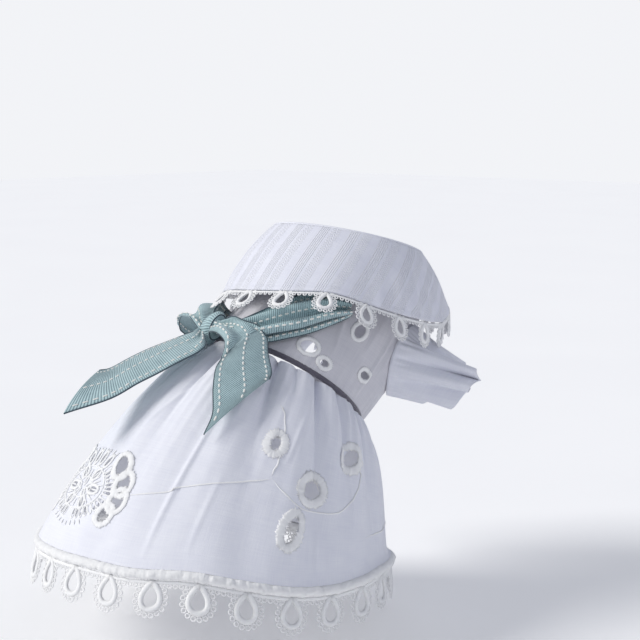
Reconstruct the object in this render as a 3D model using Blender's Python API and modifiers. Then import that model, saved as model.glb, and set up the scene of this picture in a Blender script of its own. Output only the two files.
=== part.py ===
"""Small dog's dress in its worn form, hollow, without the dog.

The dress hangs from its neck opening, whose centre is the origin. The dog would face +X, its
right side is -Y and +Z is up. Lengths are in metres and angles in degrees. Angles run round the
body from the middle of the back and grow towards the dog's right side.
"""
import bpy
import bmesh
import numpy as np
from mathutils import Matrix, Vector

# Rings of the dress: radius, tilt of the ring's axis, and how far and which way the next one lies
NECK_RADIUS = 0.056
NECK_TILT = 73.6
BODICE_LENGTH = 0.1252
BODICE_LEAN = 35.8
WAIST_RADIUS = 0.063
WAIST_TILT = 50.3
SKIRT_LENGTH = 0.1219
SKIRT_LEAN = 33.0
HEM_RADIUS = 0.1236
HEM_TILT = 81.6
COLLAR_LENGTH = 0.0479
COLLAR_LEAN = 13.5
COLLAR_EDGE_RADIUS = 0.0845
COLLAR_EDGE_TILT = 83.0

# Walls and clearances
CLOTH_THICKNESS = 0.0012
COLLAR_THICKNESS = 0.0013
SLEEVE_THICKNESS = 0.0011
LACE_THICKNESS = 0.0014
RIBBON_THICKNESS = 0.0010
SEAM_GAP = 0.0003
PIPING_GAP = 0.0007
LACE_GAP = 0.0012
CORD_GAP = 0.0008

# Bodice
CHEST_FULLNESS = 0.016
BACK_HOLLOW = 0.005
BODICE_COLUMNS = 48
BODICE_ROWS = 5

# Collar: its edge hangs lower by shares of the dip and stands out by shares of the lift
COLLAR_COLUMNS = 56
COLLAR_ROWS = (0.0, 0.5, 1.0)
COLLAR_DIP = 0.010
COLLAR_LIFT = 0.009
COLLAR_SHAPE_NAMES = ("angle", "dip", "lift", "flare")
COLLAR_SHAPE = [
    (-180, 0.0, 0.0, -24), (-127, -0.2, 0.0, -24), (-105, 0.3, 0.0, -24), (-80, 0.1, 0.0, -18),
    (-55, -0.1, 0.15, -6), (-35, -0.2, 0.45, 6), (-15, -0.6, 0.9, 10), (3, -0.8, 1.0, 10),
    (20, -1.0, 1.0, 8), (38, -1.1, 0.8, 2), (58, -0.4, 0.35, -6), (79, 0.25, 0.05, -14),
    (108, 0.5, 0.0, -24), (130, -0.3, 0.0, -26), (155, 0.0, 0.0, -24),
]

# Waist piping
PIPING_DIAMETER = 0.003
PIPING_COLUMNS = 48

# Skirt: share of the flare that is reached at each share of its length
SKIRT_FLARE = [(0.0, 0.0), (0.1, 0.15), (0.25, 0.36), (0.5, 0.64), (0.75, 0.85), (1.0, 1.0)]
SKIRT_COLUMNS = 90
SKIRT_ROWS = (0.0, 0.08, 0.24, 0.5, 0.76, 1.0)
SKIRT_LEFT_TUCK = 0.006
SKIRT_HANG = 0.15
HEM_DIP = 0.006
HEM_SHAPE_NAMES = ("angle", "dip")
HEM_SHAPE = [
    (-180, 0.0), (-120, 0.0), (-60, 0.15), (-22, 0.0), (0, -0.4), (20, -0.5), (40, -1.0),
    (56, -0.4), (70, 0.1), (84, 0.1), (94, -0.25), (105, -0.75), (122, -1.0), (150, -0.5),
]
GATHER_DEPTH = 0.0045
GATHER_HALF_WIDTH = 4.6
GATHER_AT_WAIST = 0.35
GATHER_AT_HEM = 0.2
GATHER_NAMES = ("angle", "drift", "depth", "reach")
GATHERS = [
    (-172, 0, 0.8, 0.9), (-153, -3, 0.9, 0.8), (-134, -6, 0.8, 0.9), (-116, -9, 1.0, 0.7),
    (-97, -12, 0.8, 0.9), (-80, -16, 1.0, 0.8), (-63, -19, 0.9, 0.9), (-46, -16, 1.0, 0.7),
    (-30, -12, 0.9, 0.9), (-14, -4, 0.8, 0.6), (4, 4, 0.9, 0.8), (20, 14, 0.7, 0.35),
    (35, 20, 1.2, 0.75), (48, 18, 0.7, 0.35), (63, 16, 1.2, 0.85), (80, 12, 0.9, 0.8),
    (99, 10, 1.0, 0.9), (117, 8, 0.8, 0.7), (136, 5, 1.0, 0.9), (154, 3, 0.8, 0.8),
]

# Open eyelets: place round the body, share of the cloth's length from the waist seam, and the
# two diameters as shares of the eyelet's size
EYELET_SIZE = 0.014
EYELET_NAMES = ("angle", "down", "width", "length", "turn")
SKIRT_EYELETS = [
    (71, 0.56, 0.96, 1.07, 0), (66, 0.73, 0.6, 1.35, -8), (88, 0.38, 0.68, 1.07, -28),
    (52, 0.44, 0.43, 0.71, 0), (-103, 0.56, 0.96, 1.07, 0), (-97, 0.73, 0.6, 1.35, 8),
    (-120, 0.38, 0.68, 1.07, 28), (-83, 0.44, 0.43, 0.71, 0), (165, 0.56, 0.96, 1.07, 0),
    (160, 0.73, 0.6, 1.35, -8), (-175, 0.38, 0.68, 1.07, -28),
]
BODICE_EYELETS = [
    (49, 0.14, 0.85, 0.64, 0), (63, 0.09, 0.5, 0.36, 0), (74, 0.38, 0.57, 0.78, 0),
    (93, 0.17, 0.57, 0.43, 0), (-60, 0.14, 0.85, 0.64, 0), (-80, 0.38, 0.57, 0.78, 0),
    (165, 0.32, 0.85, 0.64, 0),
]

# Cutwork flower at the centre back: an oval with open eyelets at its sides and slits in it
FLOWER_ANGLE = -15.0
FLOWER_DOWN = 0.74
FLOWER_HALF_WIDTH = 0.042
FLOWER_HALF_HEIGHT = 0.026
FLOWER_HOLE_NAMES = ("clock", "reach", "width", "length")
FLOWER_HOLES = [
    (45, 1.06, 0.64, 1.07), (18, 1.02, 0.64, 0.95), (-8, 1.02, 0.64, 0.9), (-33, 1.06, 0.57, 0.75),
    (135, 1.06, 0.64, 1.07), (162, 1.02, 0.64, 0.95), (188, 1.02, 0.64, 0.9),
    (213, 1.06, 0.57, 0.75), (66, 0.86, 0.22, 0.6), (82, 0.86, 0.22, 0.6), (98, 0.86, 0.22, 0.6),
    (114, 0.86, 0.22, 0.6), (0, 0.36, 0.3, 0.8), (60, 0.46, 0.28, 0.55), (120, 0.46, 0.28, 0.55),
    (180, 0.36, 0.3, 0.8), (240, 0.46, 0.28, 0.55), (300, 0.46, 0.28, 0.55),
]

# Hem cord and the two laces
HEM_CORD_DIAMETER = 0.0052
HEM_CORD_COLUMNS = 54
HEM_FLARE = 8.0
HEM_LACE_LOOPS = 26
HEM_LACE_LENGTH = 0.0235
HEM_LACE_HEADER = 0.0025
COLLAR_LACE_LOOPS = 20
COLLAR_LACE_LENGTH = 0.0185
COLLAR_LACE_HEADER = 0.002
LACE_OUTER = [(-0.2, 0.0), (0.2, 0.0), (0.55, 0.36), (0.63, 0.66), (0.33, 1.0), (-0.33, 1.0),
              (-0.63, 0.66), (-0.55, 0.36)]
LACE_INNER = [(-0.08, 0.32), (0.08, 0.32), (0.21, 0.46), (0.25, 0.66), (0.12, 0.84),
              (-0.12, 0.84), (-0.25, 0.66), (-0.21, 0.46)]

# Armholes and flutter sleeves
ARMHOLE_ANGLE = 126.0
ARMHOLE_DOWN = 0.6
ARMHOLE_RADIUS = 0.027
ARMHOLE_AXIS = (0.31, -0.94, -0.145)
SLEEVE_LENGTH = 0.054
SLEEVE_FORWARD = 0.65
SLEEVE_COLUMNS = 36
SLEEVE_FLUTES = 9
SLEEVE_FLUTE_DEPTH = 0.0045
SLEEVE_SHAPE_NAMES = ("angle", "length", "droop", "spread")
SLEEVE_SHAPE = [
    (0, 1.0, 0.1, 0.2), (45, 1.0, 0.5, 0.1), (90, 0.85, 1.05, 0.0), (135, 0.78, 0.9, 0.05),
    (180, 0.5, 0.4, 0.1), (225, 0.3, 0.1, 0.15), (270, 0.42, 0.0, 0.05), (315, 0.78, 0.05, 0.1),
]

# Ribbon bow: each row gives the lower and the upper edge as an angle from the knot, a height
# over the waist seam in ribbon widths and a distance from the cloth as a share of the rise
BOW_ANGLE = -16.0
BOW_RISE = 0.010
RIBBON_WIDTH = 0.040
RIBBON_CROWN = 0.0008
KNOT_WIDTH = 0.0168
KNOT_HEIGHT = 0.025
KNOT_DEPTH = 0.0134
KNOT_RISE = 0.9
RIBBON_NAMES = ("low_angle", "low_height", "low_rise", "high_angle", "high_height", "high_rise")
LOOP_RIGHT = [
    (7.2, -0.12, 0.95, 7.2, 0.14, 0.85), (19, -0.18, 0.8, 17, 0.38, 0.75), (29, -0.1, 0.8, 26, 0.64, 0.85),
    (40, 0.14, 0.95, 34, 0.92, 0.95), (55, 0.55, 0.95, 46, 1.34, 0.95),
    (67, 1.0, 0.85, 60, 1.56, 0.85), (76, 1.28, 0.7, 71, 1.6, 0.7),
    (79, 1.36, 0.5, 74, 1.6, 0.5), (77, 1.25, 0.35, 71, 1.55, 0.35),
    (62, 0.68, 0.35, 54, 1.38, 0.35), (51, 0.36, 0.35, 42, 1.05, 0.35),
    (40, 0.08, 0.35, 32, 0.75, 0.35), (22, -0.18, 0.4, 20, 0.42, 0.35), (7.2, -0.12, 0.5, 7.2, 0.14, 0.45),
]
LOOP_LEFT = [
    (-8, -0.1, 0.95, -8, 0.14, 0.9), (-17, -0.06, 1.5, -16, 0.34, 1.6), (-27, 0.05, 1.8, -25, 0.56, 2.0),
    (-38, 0.2, 1.75, -35, 0.76, 1.95), (-50, 0.36, 1.4, -46, 0.9, 1.45),
    (-60, 0.52, 1.05, -56, 0.96, 1.05), (-67, 0.64, 0.8, -63, 0.98, 0.8),
    (-70, 0.68, 0.55, -66, 0.99, 0.55), (-67, 0.64, 0.35, -63, 0.97, 0.35),
    (-57, 0.5, 0.35, -53, 0.93, 0.35), (-46, 0.36, 0.35, -42, 0.84, 0.35),
    (-34, 0.2, 0.4, -31, 0.7, 0.4), (-20, 0.0, 0.45, -18, 0.4, 0.4), (-8, -0.1, 0.5, -8, 0.14, 0.45),
]
TAIL_RIGHT = [
    (7.2, -0.24, 1.11, 7.2, 0.06, 1.21), (19, -0.32, 1.16, 17, 0.15, 1.36), (28, -0.46, 1.2, 26, 0.22, 1.45),
    (32, -0.66, 1.0, 36, 0.2, 1.3), (33, -0.82, 0.9, 42, -0.05, 1.0), (37, -1.04, 0.8, 48, -0.32, 0.65),
    (42, -1.29, 0.7, 54, -0.56, 0.5), (43, -1.52, 0.65, 55, -0.68, 0.5),
]
TAIL_LEFT = [
    (6, -0.29, 0.8, -9, -0.15, 1.0), (16, -0.48, 0.75, -6, -0.31, 1.1), (17, -0.64, 0.75, -8, -0.46, 1.25),
    (15, -0.82, 0.95, -9, -0.62, 1.5), (12, -1.05, 1.3, -10, -0.81, 1.9), (9, -1.24, 1.7, -10, -0.99, 2.3),
    (6, -1.5, 2.35, -10, -1.18, 2.75), (1, -1.82, 3.9, -10, -1.27, 3.25),
]
RIBBON_STEPS = 2

SIDE = np.array([0.0, -1.0, 0.0])


def column(rows, names, name):
    """One named column of a table."""
    place = names.index(name)
    return np.array([row[place] for row in rows], float)


def hermite(at, places, values):
    """Smooth curve through the points of a table."""
    slopes = np.gradient(values, places)
    k = np.clip(np.searchsorted(places, at, side="right") - 1, 0, len(places) - 2)
    wide = places[k + 1] - places[k]
    u = np.clip((at - places[k]) / wide, 0.0, 1.0)
    a = (1 + 2 * u) * (1 - u) ** 2
    b = u * (1 - u) ** 2 * wide
    c = u * u * (3 - 2 * u)
    d = u * u * (u - 1) * wide
    return a * values[k] + b * slopes[k] + c * values[k + 1] + d * slopes[k + 1]


def around(angle, rows, names, name):
    """A table column as a smooth closed curve of the angle."""
    places = column(rows, names, "angle")
    start = places[0]
    at = (np.asarray(angle, float) - start) % 360.0 + start
    places = np.concatenate([places - 360.0, places, places + 360.0])
    return hermite(at, places, np.tile(column(rows, names, name), 3))


def smooth(share):
    share = np.clip(share, 0.0, 1.0)
    return share * share * (3 - 2 * share)


def unit(v):
    return v / np.linalg.norm(v, axis=-1, keepdims=True)


def axes(tilt):
    """Axis to the neck and direction to the back for a ring tilted by this angle."""
    a = np.radians(np.asarray(tilt, float))
    zero = np.zeros_like(a)
    return (np.stack([np.cos(a), zero, np.sin(a)], -1),
            np.stack([-np.sin(a), zero, np.cos(a)], -1))


def below(point, length, lean):
    """Point at a distance, down and towards the tail."""
    a = np.radians(lean)
    return point + length * np.array([-np.sin(a), 0.0, -np.cos(a)])


NECK_MIDDLE = np.zeros(3)
WAIST_MIDDLE = below(NECK_MIDDLE, BODICE_LENGTH, BODICE_LEAN)
HEM_MIDDLE = below(WAIST_MIDDLE, SKIRT_LENGTH, SKIRT_LEAN)
COLLAR_MIDDLE = below(NECK_MIDDLE, COLLAR_LENGTH, COLLAR_LEAN)


def spine(first, first_tilt, last, last_tilt, share, pull=1.0 / 3.0):
    """Point on the curved middle line between two rings."""
    reach = np.linalg.norm(last - first) * pull
    p1 = first - axes(first_tilt)[0] * reach
    p2 = last + axes(last_tilt)[0] * reach
    t = np.asarray(share, float)[..., None]
    return ((1 - t) ** 3 * first + 3 * (1 - t) ** 2 * t * p1 + 3 * (1 - t) * t * t * p2
            + t ** 3 * last)


def spoke(tilt, angle):
    a = np.radians(angle)
    return np.cos(a)[..., None] * axes(tilt)[1] + np.sin(a)[..., None] * SIDE


def bodice_point(angle, share):
    """Outer face of the bodice; share runs from the neck seam to the waist seam."""
    angle, share = np.broadcast_arrays(np.asarray(angle, float), np.asarray(share, float))
    front = 0.5 - 0.5 * np.cos(np.radians(angle))
    swell = np.sin(np.pi * np.clip(share, 0.0, 1.0))
    radius = NECK_RADIUS + (WAIST_RADIUS - NECK_RADIUS) * share
    radius = radius + CHEST_FULLNESS * swell * front - BACK_HOLLOW * swell * (1 - front)
    tilt = NECK_TILT + (WAIST_TILT - NECK_TILT) * share
    centre = spine(NECK_MIDDLE, NECK_TILT, WAIST_MIDDLE, WAIST_TILT, share)
    return centre + radius[..., None] * spoke(tilt, angle)


def gather_depth(angle, share):
    """How far the gathers of the skirt fold inwards."""
    deep = np.zeros(np.shape(angle))
    for place, drift, depth, reach in GATHERS:
        off = (angle - place - drift * share + 180.0) % 360.0 - 180.0
        wide = GATHER_HALF_WIDTH * (1 + 0.5 * share)
        near = GATHER_AT_WAIST + (1 - GATHER_AT_WAIST) * smooth(share / 0.1)
        fade = GATHER_AT_HEM + (1 - GATHER_AT_HEM) * (1 - smooth(share / reach))
        deep = deep + GATHER_DEPTH * depth * near * fade * np.exp(-(off / wide) ** 2)
    return deep


def skirt_point(angle, share, gathered=True):
    """Outer face of the skirt; share runs from the waist seam to the hem."""
    angle, share = np.broadcast_arrays(np.asarray(angle, float), np.asarray(share, float))
    inside = np.clip(share, 0.0, 1.0)
    flare = hermite(inside, np.array([row[0] for row in SKIRT_FLARE]),
                    np.array([row[1] for row in SKIRT_FLARE]))
    radius = WAIST_RADIUS + (HEM_RADIUS - WAIST_RADIUS) * flare
    left = np.maximum(0.0, -np.sin(np.radians(angle)))
    radius = radius - SKIRT_LEFT_TUCK * left * np.sin(np.pi * inside)
    if gathered:
        radius = radius - gather_depth(angle, share)
    tilt = WAIST_TILT + (HEM_TILT - WAIST_TILT) * share
    centre = spine(WAIST_MIDDLE, WAIST_TILT, HEM_MIDDLE, HEM_TILT, share, SKIRT_HANG)
    drop = HEM_DIP * around(angle, HEM_SHAPE, HEM_SHAPE_NAMES, "dip") * inside ** 2
    return centre + radius[..., None] * spoke(tilt, angle) - axes(tilt)[0] * drop[..., None]


def collar_point(angle, share):
    """Outer face of the collar; share runs from the neck seam to its edge."""
    angle, share = np.broadcast_arrays(np.asarray(angle, float), np.asarray(share, float))
    drop = COLLAR_DIP * around(angle, COLLAR_SHAPE, COLLAR_SHAPE_NAMES, "dip")
    lift = COLLAR_LIFT * around(angle, COLLAR_SHAPE, COLLAR_SHAPE_NAMES, "lift")
    start = NECK_RADIUS + 2 * SEAM_GAP + COLLAR_THICKNESS
    radius = start + (COLLAR_EDGE_RADIUS - start) * share + lift * share ** 1.5
    tilt = NECK_TILT + (COLLAR_EDGE_TILT - NECK_TILT) * share
    centre = spine(NECK_MIDDLE, NECK_TILT, COLLAR_MIDDLE, COLLAR_EDGE_TILT, share)
    point = centre + radius[..., None] * spoke(tilt, angle)
    return point - axes(tilt)[0] * (drop * share ** 2)[..., None]


def hang(edge, down, radial, distance, flare):
    """Point below an edge, on the way down turned outwards by a flare."""
    a = np.radians(flare)[..., None]
    return edge + unit(down * np.cos(a) + radial * np.sin(a)) * distance[..., None]


def collar_fall(angle, distance):
    angle, distance = np.broadcast_arrays(np.asarray(angle, float), np.asarray(distance, float))
    radial = spoke(COLLAR_EDGE_TILT, angle)
    edge = collar_point(angle, 1.0)
    down = unit(edge - collar_point(angle, 0.7))
    flare = around(angle, COLLAR_SHAPE, COLLAR_SHAPE_NAMES, "flare")
    return hang(edge - radial * COLLAR_THICKNESS / 2, down, radial, distance, flare)


def hem_fall(angle, distance):
    angle, distance = np.broadcast_arrays(np.asarray(angle, float), np.asarray(distance, float))
    radial = spoke(HEM_TILT, angle)
    edge = skirt_point(angle, 1.0)
    down = np.broadcast_to(-axes(HEM_TILT)[0], edge.shape)
    return hang(edge - radial * CLOTH_THICKNESS / 2, down, radial, distance, np.array(HEM_FLARE))


def body_point(angle, height, rise):
    """Point over the bodice or the skirt: height over the waist seam, rise off the cloth."""
    angle, height = np.broadcast_arrays(np.asarray(angle, float), np.asarray(height, float))

    def face(a, h):
        upper = bodice_point(a, np.clip(1 - h / BODICE_LENGTH, 0.0, 1.0))
        lower = skirt_point(a, np.clip(-h / SKIRT_LENGTH, 0.0, 1.0), False)
        return np.where((h >= 0)[..., None], upper, lower)

    across = face(angle + 0.5, height) - face(angle - 0.5, height)
    reach = 0.15 * RIBBON_WIDTH
    upwards = face(angle, height + reach) - face(angle, height - reach)
    return face(angle, height) + unit(np.cross(across, upwards)) * np.asarray(rise)[..., None]


def material(name, colour, roughness):
    """Plain cloth finish for one piece."""
    finish = bpy.data.materials.new(name)
    finish.use_nodes = True
    shader = finish.node_tree.nodes["Principled BSDF"]
    shader.inputs["Base Color"].default_value = (colour[0], colour[1], colour[2], 1.0)
    shader.inputs["Roughness"].default_value = roughness
    shader.inputs["Metallic"].default_value = 0.0
    return finish


WHITE_COTTON = (0.80, 0.80, 0.85)
WHITE_LACE = (0.88, 0.88, 0.88)
GREY_PIPING = (0.09, 0.08, 0.11)
TEAL_RIBBON = (0.16, 0.27, 0.31)


def collection(name):
    found = bpy.data.collections.new(name)
    bpy.context.scene.collection.children.link(found)
    return found


def mesh_object(name, points, faces, colour, group):
    mesh = bpy.data.meshes.new(name)
    mesh.from_pydata([tuple(p) for p in np.asarray(points)], [], faces)
    mesh.update()
    mesh.shade_smooth()
    obj = bpy.data.objects.new(name, mesh)
    group.objects.link(obj)
    if colour is not None:
        mesh.materials.append(material(name, colour, 0.85))
    return obj


def solidify(obj, thickness, offset):
    wall = obj.modifiers.new("wall", "SOLIDIFY")
    wall.thickness = thickness
    wall.offset = offset
    wall.use_even_offset = False
    wall.use_rim = True
    return obj


def grid_faces(columns, rows, closed, flip=False):
    """Quads of a grid whose points are stored row by row."""
    faces = []
    for r in range(rows - 1):
        for c in range(columns if closed else columns - 1):
            n = (c + 1) % columns
            face = (r * columns + c, (r + 1) * columns + c, (r + 1) * columns + n, r * columns + n)
            faces.append(tuple(reversed(face)) if flip else face)
    return faces


def ring_object(name, line, diameter, colour, group):
    """Closed cord along a line of points."""
    curve = bpy.data.curves.new(name, "CURVE")
    curve.dimensions = "3D"
    curve.bevel_depth = diameter / 2
    curve.bevel_resolution = 1
    curve.twist_mode = "Z_UP"
    path = curve.splines.new("POLY")
    path.points.add(len(line) - 1)
    for point, place in zip(path.points, line):
        point.co = (place[0], place[1], place[2], 1.0)
    path.use_cyclic_u = True
    curve.materials.append(material(name, colour, 0.85))
    obj = bpy.data.objects.new(name, curve)
    group.objects.link(obj)
    return obj


def surface_matrix(point_at, angle, share, width, length, turn):
    """Placement of an oval prism of unit size across a surface."""
    point = point_at(np.array(angle), np.array(share))
    across = unit(point_at(np.array(angle + 1.0), np.array(share))
                  - point_at(np.array(angle - 1.0), np.array(share)))
    upwards = (point_at(np.array(angle), np.array(share - 0.02))
               - point_at(np.array(angle), np.array(share + 0.02)))
    upwards = unit(upwards - across * np.dot(upwards, across))
    out = np.cross(across, upwards)
    a = np.radians(turn)
    first = (across * np.cos(a) + upwards * np.sin(a)) * width
    second = (upwards * np.cos(a) - across * np.sin(a)) * length
    return point, first, second, out


def placed(point, first, second, out):
    frame = Matrix.Identity(4)
    for k in range(3):
        frame[k][0] = first[k]
        frame[k][1] = second[k]
        frame[k][2] = out[k]
        frame[k][3] = point[k]
    return frame


def cut_with(obj, name, prisms, group):
    """Cut oval prisms through one wall; each is placed by a frame, sides and depths."""
    shape = bmesh.new()
    for frame, sides, above, under in prisms:
        move = Matrix.Translation(Vector((0.0, 0.0, (above - under) / 2)))
        bmesh.ops.create_cone(shape, cap_ends=True, cap_tris=False, segments=sides, radius1=0.5,
                              radius2=0.5, depth=above + under, matrix=frame @ move)
    mesh = bpy.data.meshes.new(name)
    shape.to_mesh(mesh)
    shape.free()
    tool = bpy.data.objects.new(name, mesh)
    group.objects.link(tool)
    tool.hide_render = True
    tool.display_type = "WIRE"
    step = obj.modifiers.new("holes", "BOOLEAN")
    step.operation = "DIFFERENCE"
    step.solver = "EXACT"
    step.object = tool


def smooth_skirt(angle, share):
    return skirt_point(angle, share, False)


def skirt_prisms():
    found = []
    reach = 2 * GATHER_DEPTH + CLOTH_THICKNESS
    for angle, down, width, length, turn in SKIRT_EYELETS:
        frame = placed(*surface_matrix(smooth_skirt, angle, down, width * EYELET_SIZE,
                                       length * EYELET_SIZE, turn))
        found.append((frame, 8, GATHER_DEPTH, reach))
    centre = spine(WAIST_MIDDLE, WAIST_TILT, HEM_MIDDLE, HEM_TILT, np.array(FLOWER_DOWN), SKIRT_HANG)
    radius = np.linalg.norm(smooth_skirt(np.array(FLOWER_ANGLE), np.array(FLOWER_DOWN)) - centre)
    for clock, far, width, length in FLOWER_HOLES:
        a = np.radians(clock)
        angle = FLOWER_ANGLE + np.degrees(FLOWER_HALF_WIDTH * far * np.cos(a) / radius)
        down = FLOWER_DOWN - FLOWER_HALF_HEIGHT * far * np.sin(a) / SKIRT_LENGTH
        if far > 1.0:
            turn = 0.55 * (clock if abs(clock) < 90 else clock - 180)
        else:
            turn = clock - 90
        frame = placed(*surface_matrix(smooth_skirt, angle, down, width * EYELET_SIZE,
                                       length * EYELET_SIZE, turn))
        found.append((frame, 6 if width < 0.4 else 8, GATHER_DEPTH, reach))
    return found


def armhole_frame(side):
    """Middle of an armhole with its directions backwards, up and out; side is 1 on the right."""
    centre = bodice_point(np.array(ARMHOLE_ANGLE * side), np.array(ARMHOLE_DOWN))
    out = unit(np.array(ARMHOLE_AXIS) * np.array([1.0, float(side), 1.0]))
    up = np.array([0.0, 0.0, 1.0])
    up = unit(up - out * np.dot(up, out))
    backwards = np.cross(up, out) * -side
    return centre, backwards, up, out


def bodice_prisms():
    found = []
    for angle, down, width, length, turn in BODICE_EYELETS:
        frame = placed(*surface_matrix(bodice_point, angle, 1 - down, width * EYELET_SIZE,
                                       length * EYELET_SIZE, turn))
        found.append((frame, 8, 3 * CLOTH_THICKNESS, 4 * CLOTH_THICKNESS))
    for side in (1, -1):
        centre, backwards, up, out = armhole_frame(side)
        size = 2 * ARMHOLE_RADIUS
        frame = placed(centre, np.cross(up, out) * size, up * size, out)
        found.append((frame, 24, ARMHOLE_RADIUS, ARMHOLE_RADIUS))
    return found


def make_bodice(group, cutters):
    angles = np.arange(BODICE_COLUMNS) * 360.0 / BODICE_COLUMNS
    end = 1 - (PIPING_DIAMETER / 2 + PIPING_GAP) / BODICE_LENGTH
    a, s = np.meshgrid(angles, np.linspace(0.0, end, BODICE_ROWS + 1))
    obj = mesh_object("bodice", bodice_point(a, s).reshape(-1, 3),
                      grid_faces(BODICE_COLUMNS, BODICE_ROWS + 1, True), WHITE_COTTON, group)
    solidify(obj, CLOTH_THICKNESS, -1.0)
    cut_with(obj, "bodice_cutters", bodice_prisms(), cutters)


def make_collar(group):
    angles = np.arange(COLLAR_COLUMNS) * 360.0 / COLLAR_COLUMNS
    a, s = np.meshgrid(angles, COLLAR_ROWS)
    obj = mesh_object("collar", collar_point(a, s).reshape(-1, 3),
                      grid_faces(COLLAR_COLUMNS, len(COLLAR_ROWS), True), WHITE_COTTON, group)
    solidify(obj, COLLAR_THICKNESS, -1.0)


def make_lace(name, loops, header, length, fall_at, start, group):
    """Header band with pierced drops under it, in one body."""
    pitch = 360.0 / loops
    count = len(LACE_OUTER)
    per = 2 + 2 * count
    points = []
    faces = []
    for k in range(loops):
        base = k * per
        after = ((k + 1) % loops) * per
        spots = [(x, 0.0) for x, y in LACE_OUTER[:2]]
        spots += [(x, header + (length - header) * y) for x, y in LACE_OUTER + LACE_INNER]
        angle = k * pitch + 0.5 * pitch * np.array([spot[0] for spot in spots])
        points.append(fall_at(angle, start + np.array([spot[1] for spot in spots])))
        faces.append((base, base + 2, base + 3, base + 1))
        faces.append((base + 1, base + 3, after + 2, after))
        for m in range(count):
            n = (m + 1) % count
            faces.append((base + 2 + m, base + 2 + count + m, base + 2 + count + n, base + 2 + n))
    obj = mesh_object(name, np.concatenate(points), faces, WHITE_LACE, group)
    solidify(obj, LACE_THICKNESS, 0.0)


def make_piping(group):
    angles = np.arange(PIPING_COLUMNS) * 360.0 / PIPING_COLUMNS
    line = WAIST_MIDDLE + (WAIST_RADIUS - CLOTH_THICKNESS / 2) * spoke(WAIST_TILT, angles)
    ring_object("waist_piping", line, PIPING_DIAMETER, GREY_PIPING, group)


def make_skirt(group, cutters):
    angles = np.arange(SKIRT_COLUMNS) * 360.0 / SKIRT_COLUMNS
    first = (PIPING_DIAMETER / 2 + PIPING_GAP) / (3 * SKIRT_HANG * SKIRT_LENGTH)
    shares = np.array(SKIRT_ROWS) * (1 - first) + first
    a, s = np.meshgrid(angles, shares)
    obj = mesh_object("skirt", skirt_point(a, s).reshape(-1, 3),
                      grid_faces(SKIRT_COLUMNS, len(shares), True), WHITE_COTTON, group)
    solidify(obj, CLOTH_THICKNESS, -1.0)
    cut_with(obj, "skirt_cutters", skirt_prisms(), cutters)


def make_hem_cord(group):
    angles = np.arange(HEM_CORD_COLUMNS) * 360.0 / HEM_CORD_COLUMNS
    radius = HEM_CORD_DIAMETER / 2
    line = hem_fall(angles, np.full(len(angles), CORD_GAP + radius))
    ring_object("hem_cord", line, HEM_CORD_DIAMETER, WHITE_LACE, group)


def sleeve_points(side, columns, rows):
    """Points of a flutter sleeve from its seam to its free edge."""
    centre, backwards, up, out = armhole_frame(side)
    a, s = np.meshgrid(np.linspace(55, 195, 281) * side, np.linspace(0.05, 1.0, 191))
    near = bodice_point(a, s).reshape(-1, 3) - centre
    flat = np.stack([near @ backwards, near @ up], -1)
    height = near @ out
    angle = np.arange(columns) * 360.0 / columns
    length = SLEEVE_LENGTH * around(angle, SLEEVE_SHAPE, SLEEVE_SHAPE_NAMES, "length")
    droop = around(angle, SLEEVE_SHAPE, SLEEVE_SHAPE_NAMES, "droop")
    spread = around(angle, SLEEVE_SHAPE, SLEEVE_SHAPE_NAMES, "spread")
    turn = np.radians(angle)
    ray = np.cos(turn)[:, None] * backwards + np.sin(turn)[:, None] * up
    seam = ARMHOLE_RADIUS + SLEEVE_THICKNESS / 2
    start = np.zeros(columns)
    for k in range(columns):
        gap = np.hypot(flat[:, 0] - seam * np.cos(turn[k]), flat[:, 1] - seam * np.sin(turn[k]))
        start[k] = np.where(gap < 0.002, height, -1.0).max()
    way = unit(out - SLEEVE_FORWARD * backwards + droop[:, None] * np.array([0.0, 0.0, -1.0])
               + spread[:, None] * ray)
    lines = []
    for row in range(rows):
        share = row / (rows - 1)
        wave = SLEEVE_FLUTE_DEPTH * share ** 1.2 * np.minimum(1.0, length / SLEEVE_LENGTH + 0.1)
        wave = wave * np.cos(SLEEVE_FLUTES * turn)
        lines.append(centre + ray * (seam + wave)[:, None] + way * (length * share)[:, None]
                     + out * (start + SEAM_GAP + SLEEVE_THICKNESS / 2)[:, None])
    return np.concatenate(lines)


def make_sleeve(name, side, group):
    rows = 3
    points = sleeve_points(side, SLEEVE_COLUMNS, rows)
    obj = mesh_object(name, points, grid_faces(SLEEVE_COLUMNS, rows, True, side > 0),
                      WHITE_COTTON, group)
    solidify(obj, SLEEVE_THICKNESS, 0.0)


def ribbon_points(rows):
    """Edges and fuller middle line of a ribbon that follows the cloth under it."""
    table = np.array(rows, float)
    places = np.arange(len(rows), dtype=float)
    at = np.linspace(0.0, len(rows) - 1.0, (len(rows) - 1) * RIBBON_STEPS + 1)
    low_angle, low_height, low_rise, high_angle, high_height, high_rise = (
        hermite(at, places, table[:, k]) for k in range(6))
    low = body_point(BOW_ANGLE + low_angle, low_height * RIBBON_WIDTH, low_rise * BOW_RISE)
    high = body_point(BOW_ANGLE + high_angle, high_height * RIBBON_WIDTH, high_rise * BOW_RISE)
    centre = body_point(BOW_ANGLE + (low_angle + high_angle) / 2,
                        (low_height + high_height) / 2 * RIBBON_WIDTH,
                        (low_rise + high_rise) / 2 * BOW_RISE + RIBBON_CROWN)
    return np.stack([low, centre, high], axis=1).reshape(-1, 3), len(at)


def make_ribbon(name, rows, group):
    points, count = ribbon_points(rows)
    obj = mesh_object(name, points, grid_faces(3, count, False), TEAL_RIBBON, group)
    solidify(obj, RIBBON_THICKNESS, 0.0)


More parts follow.
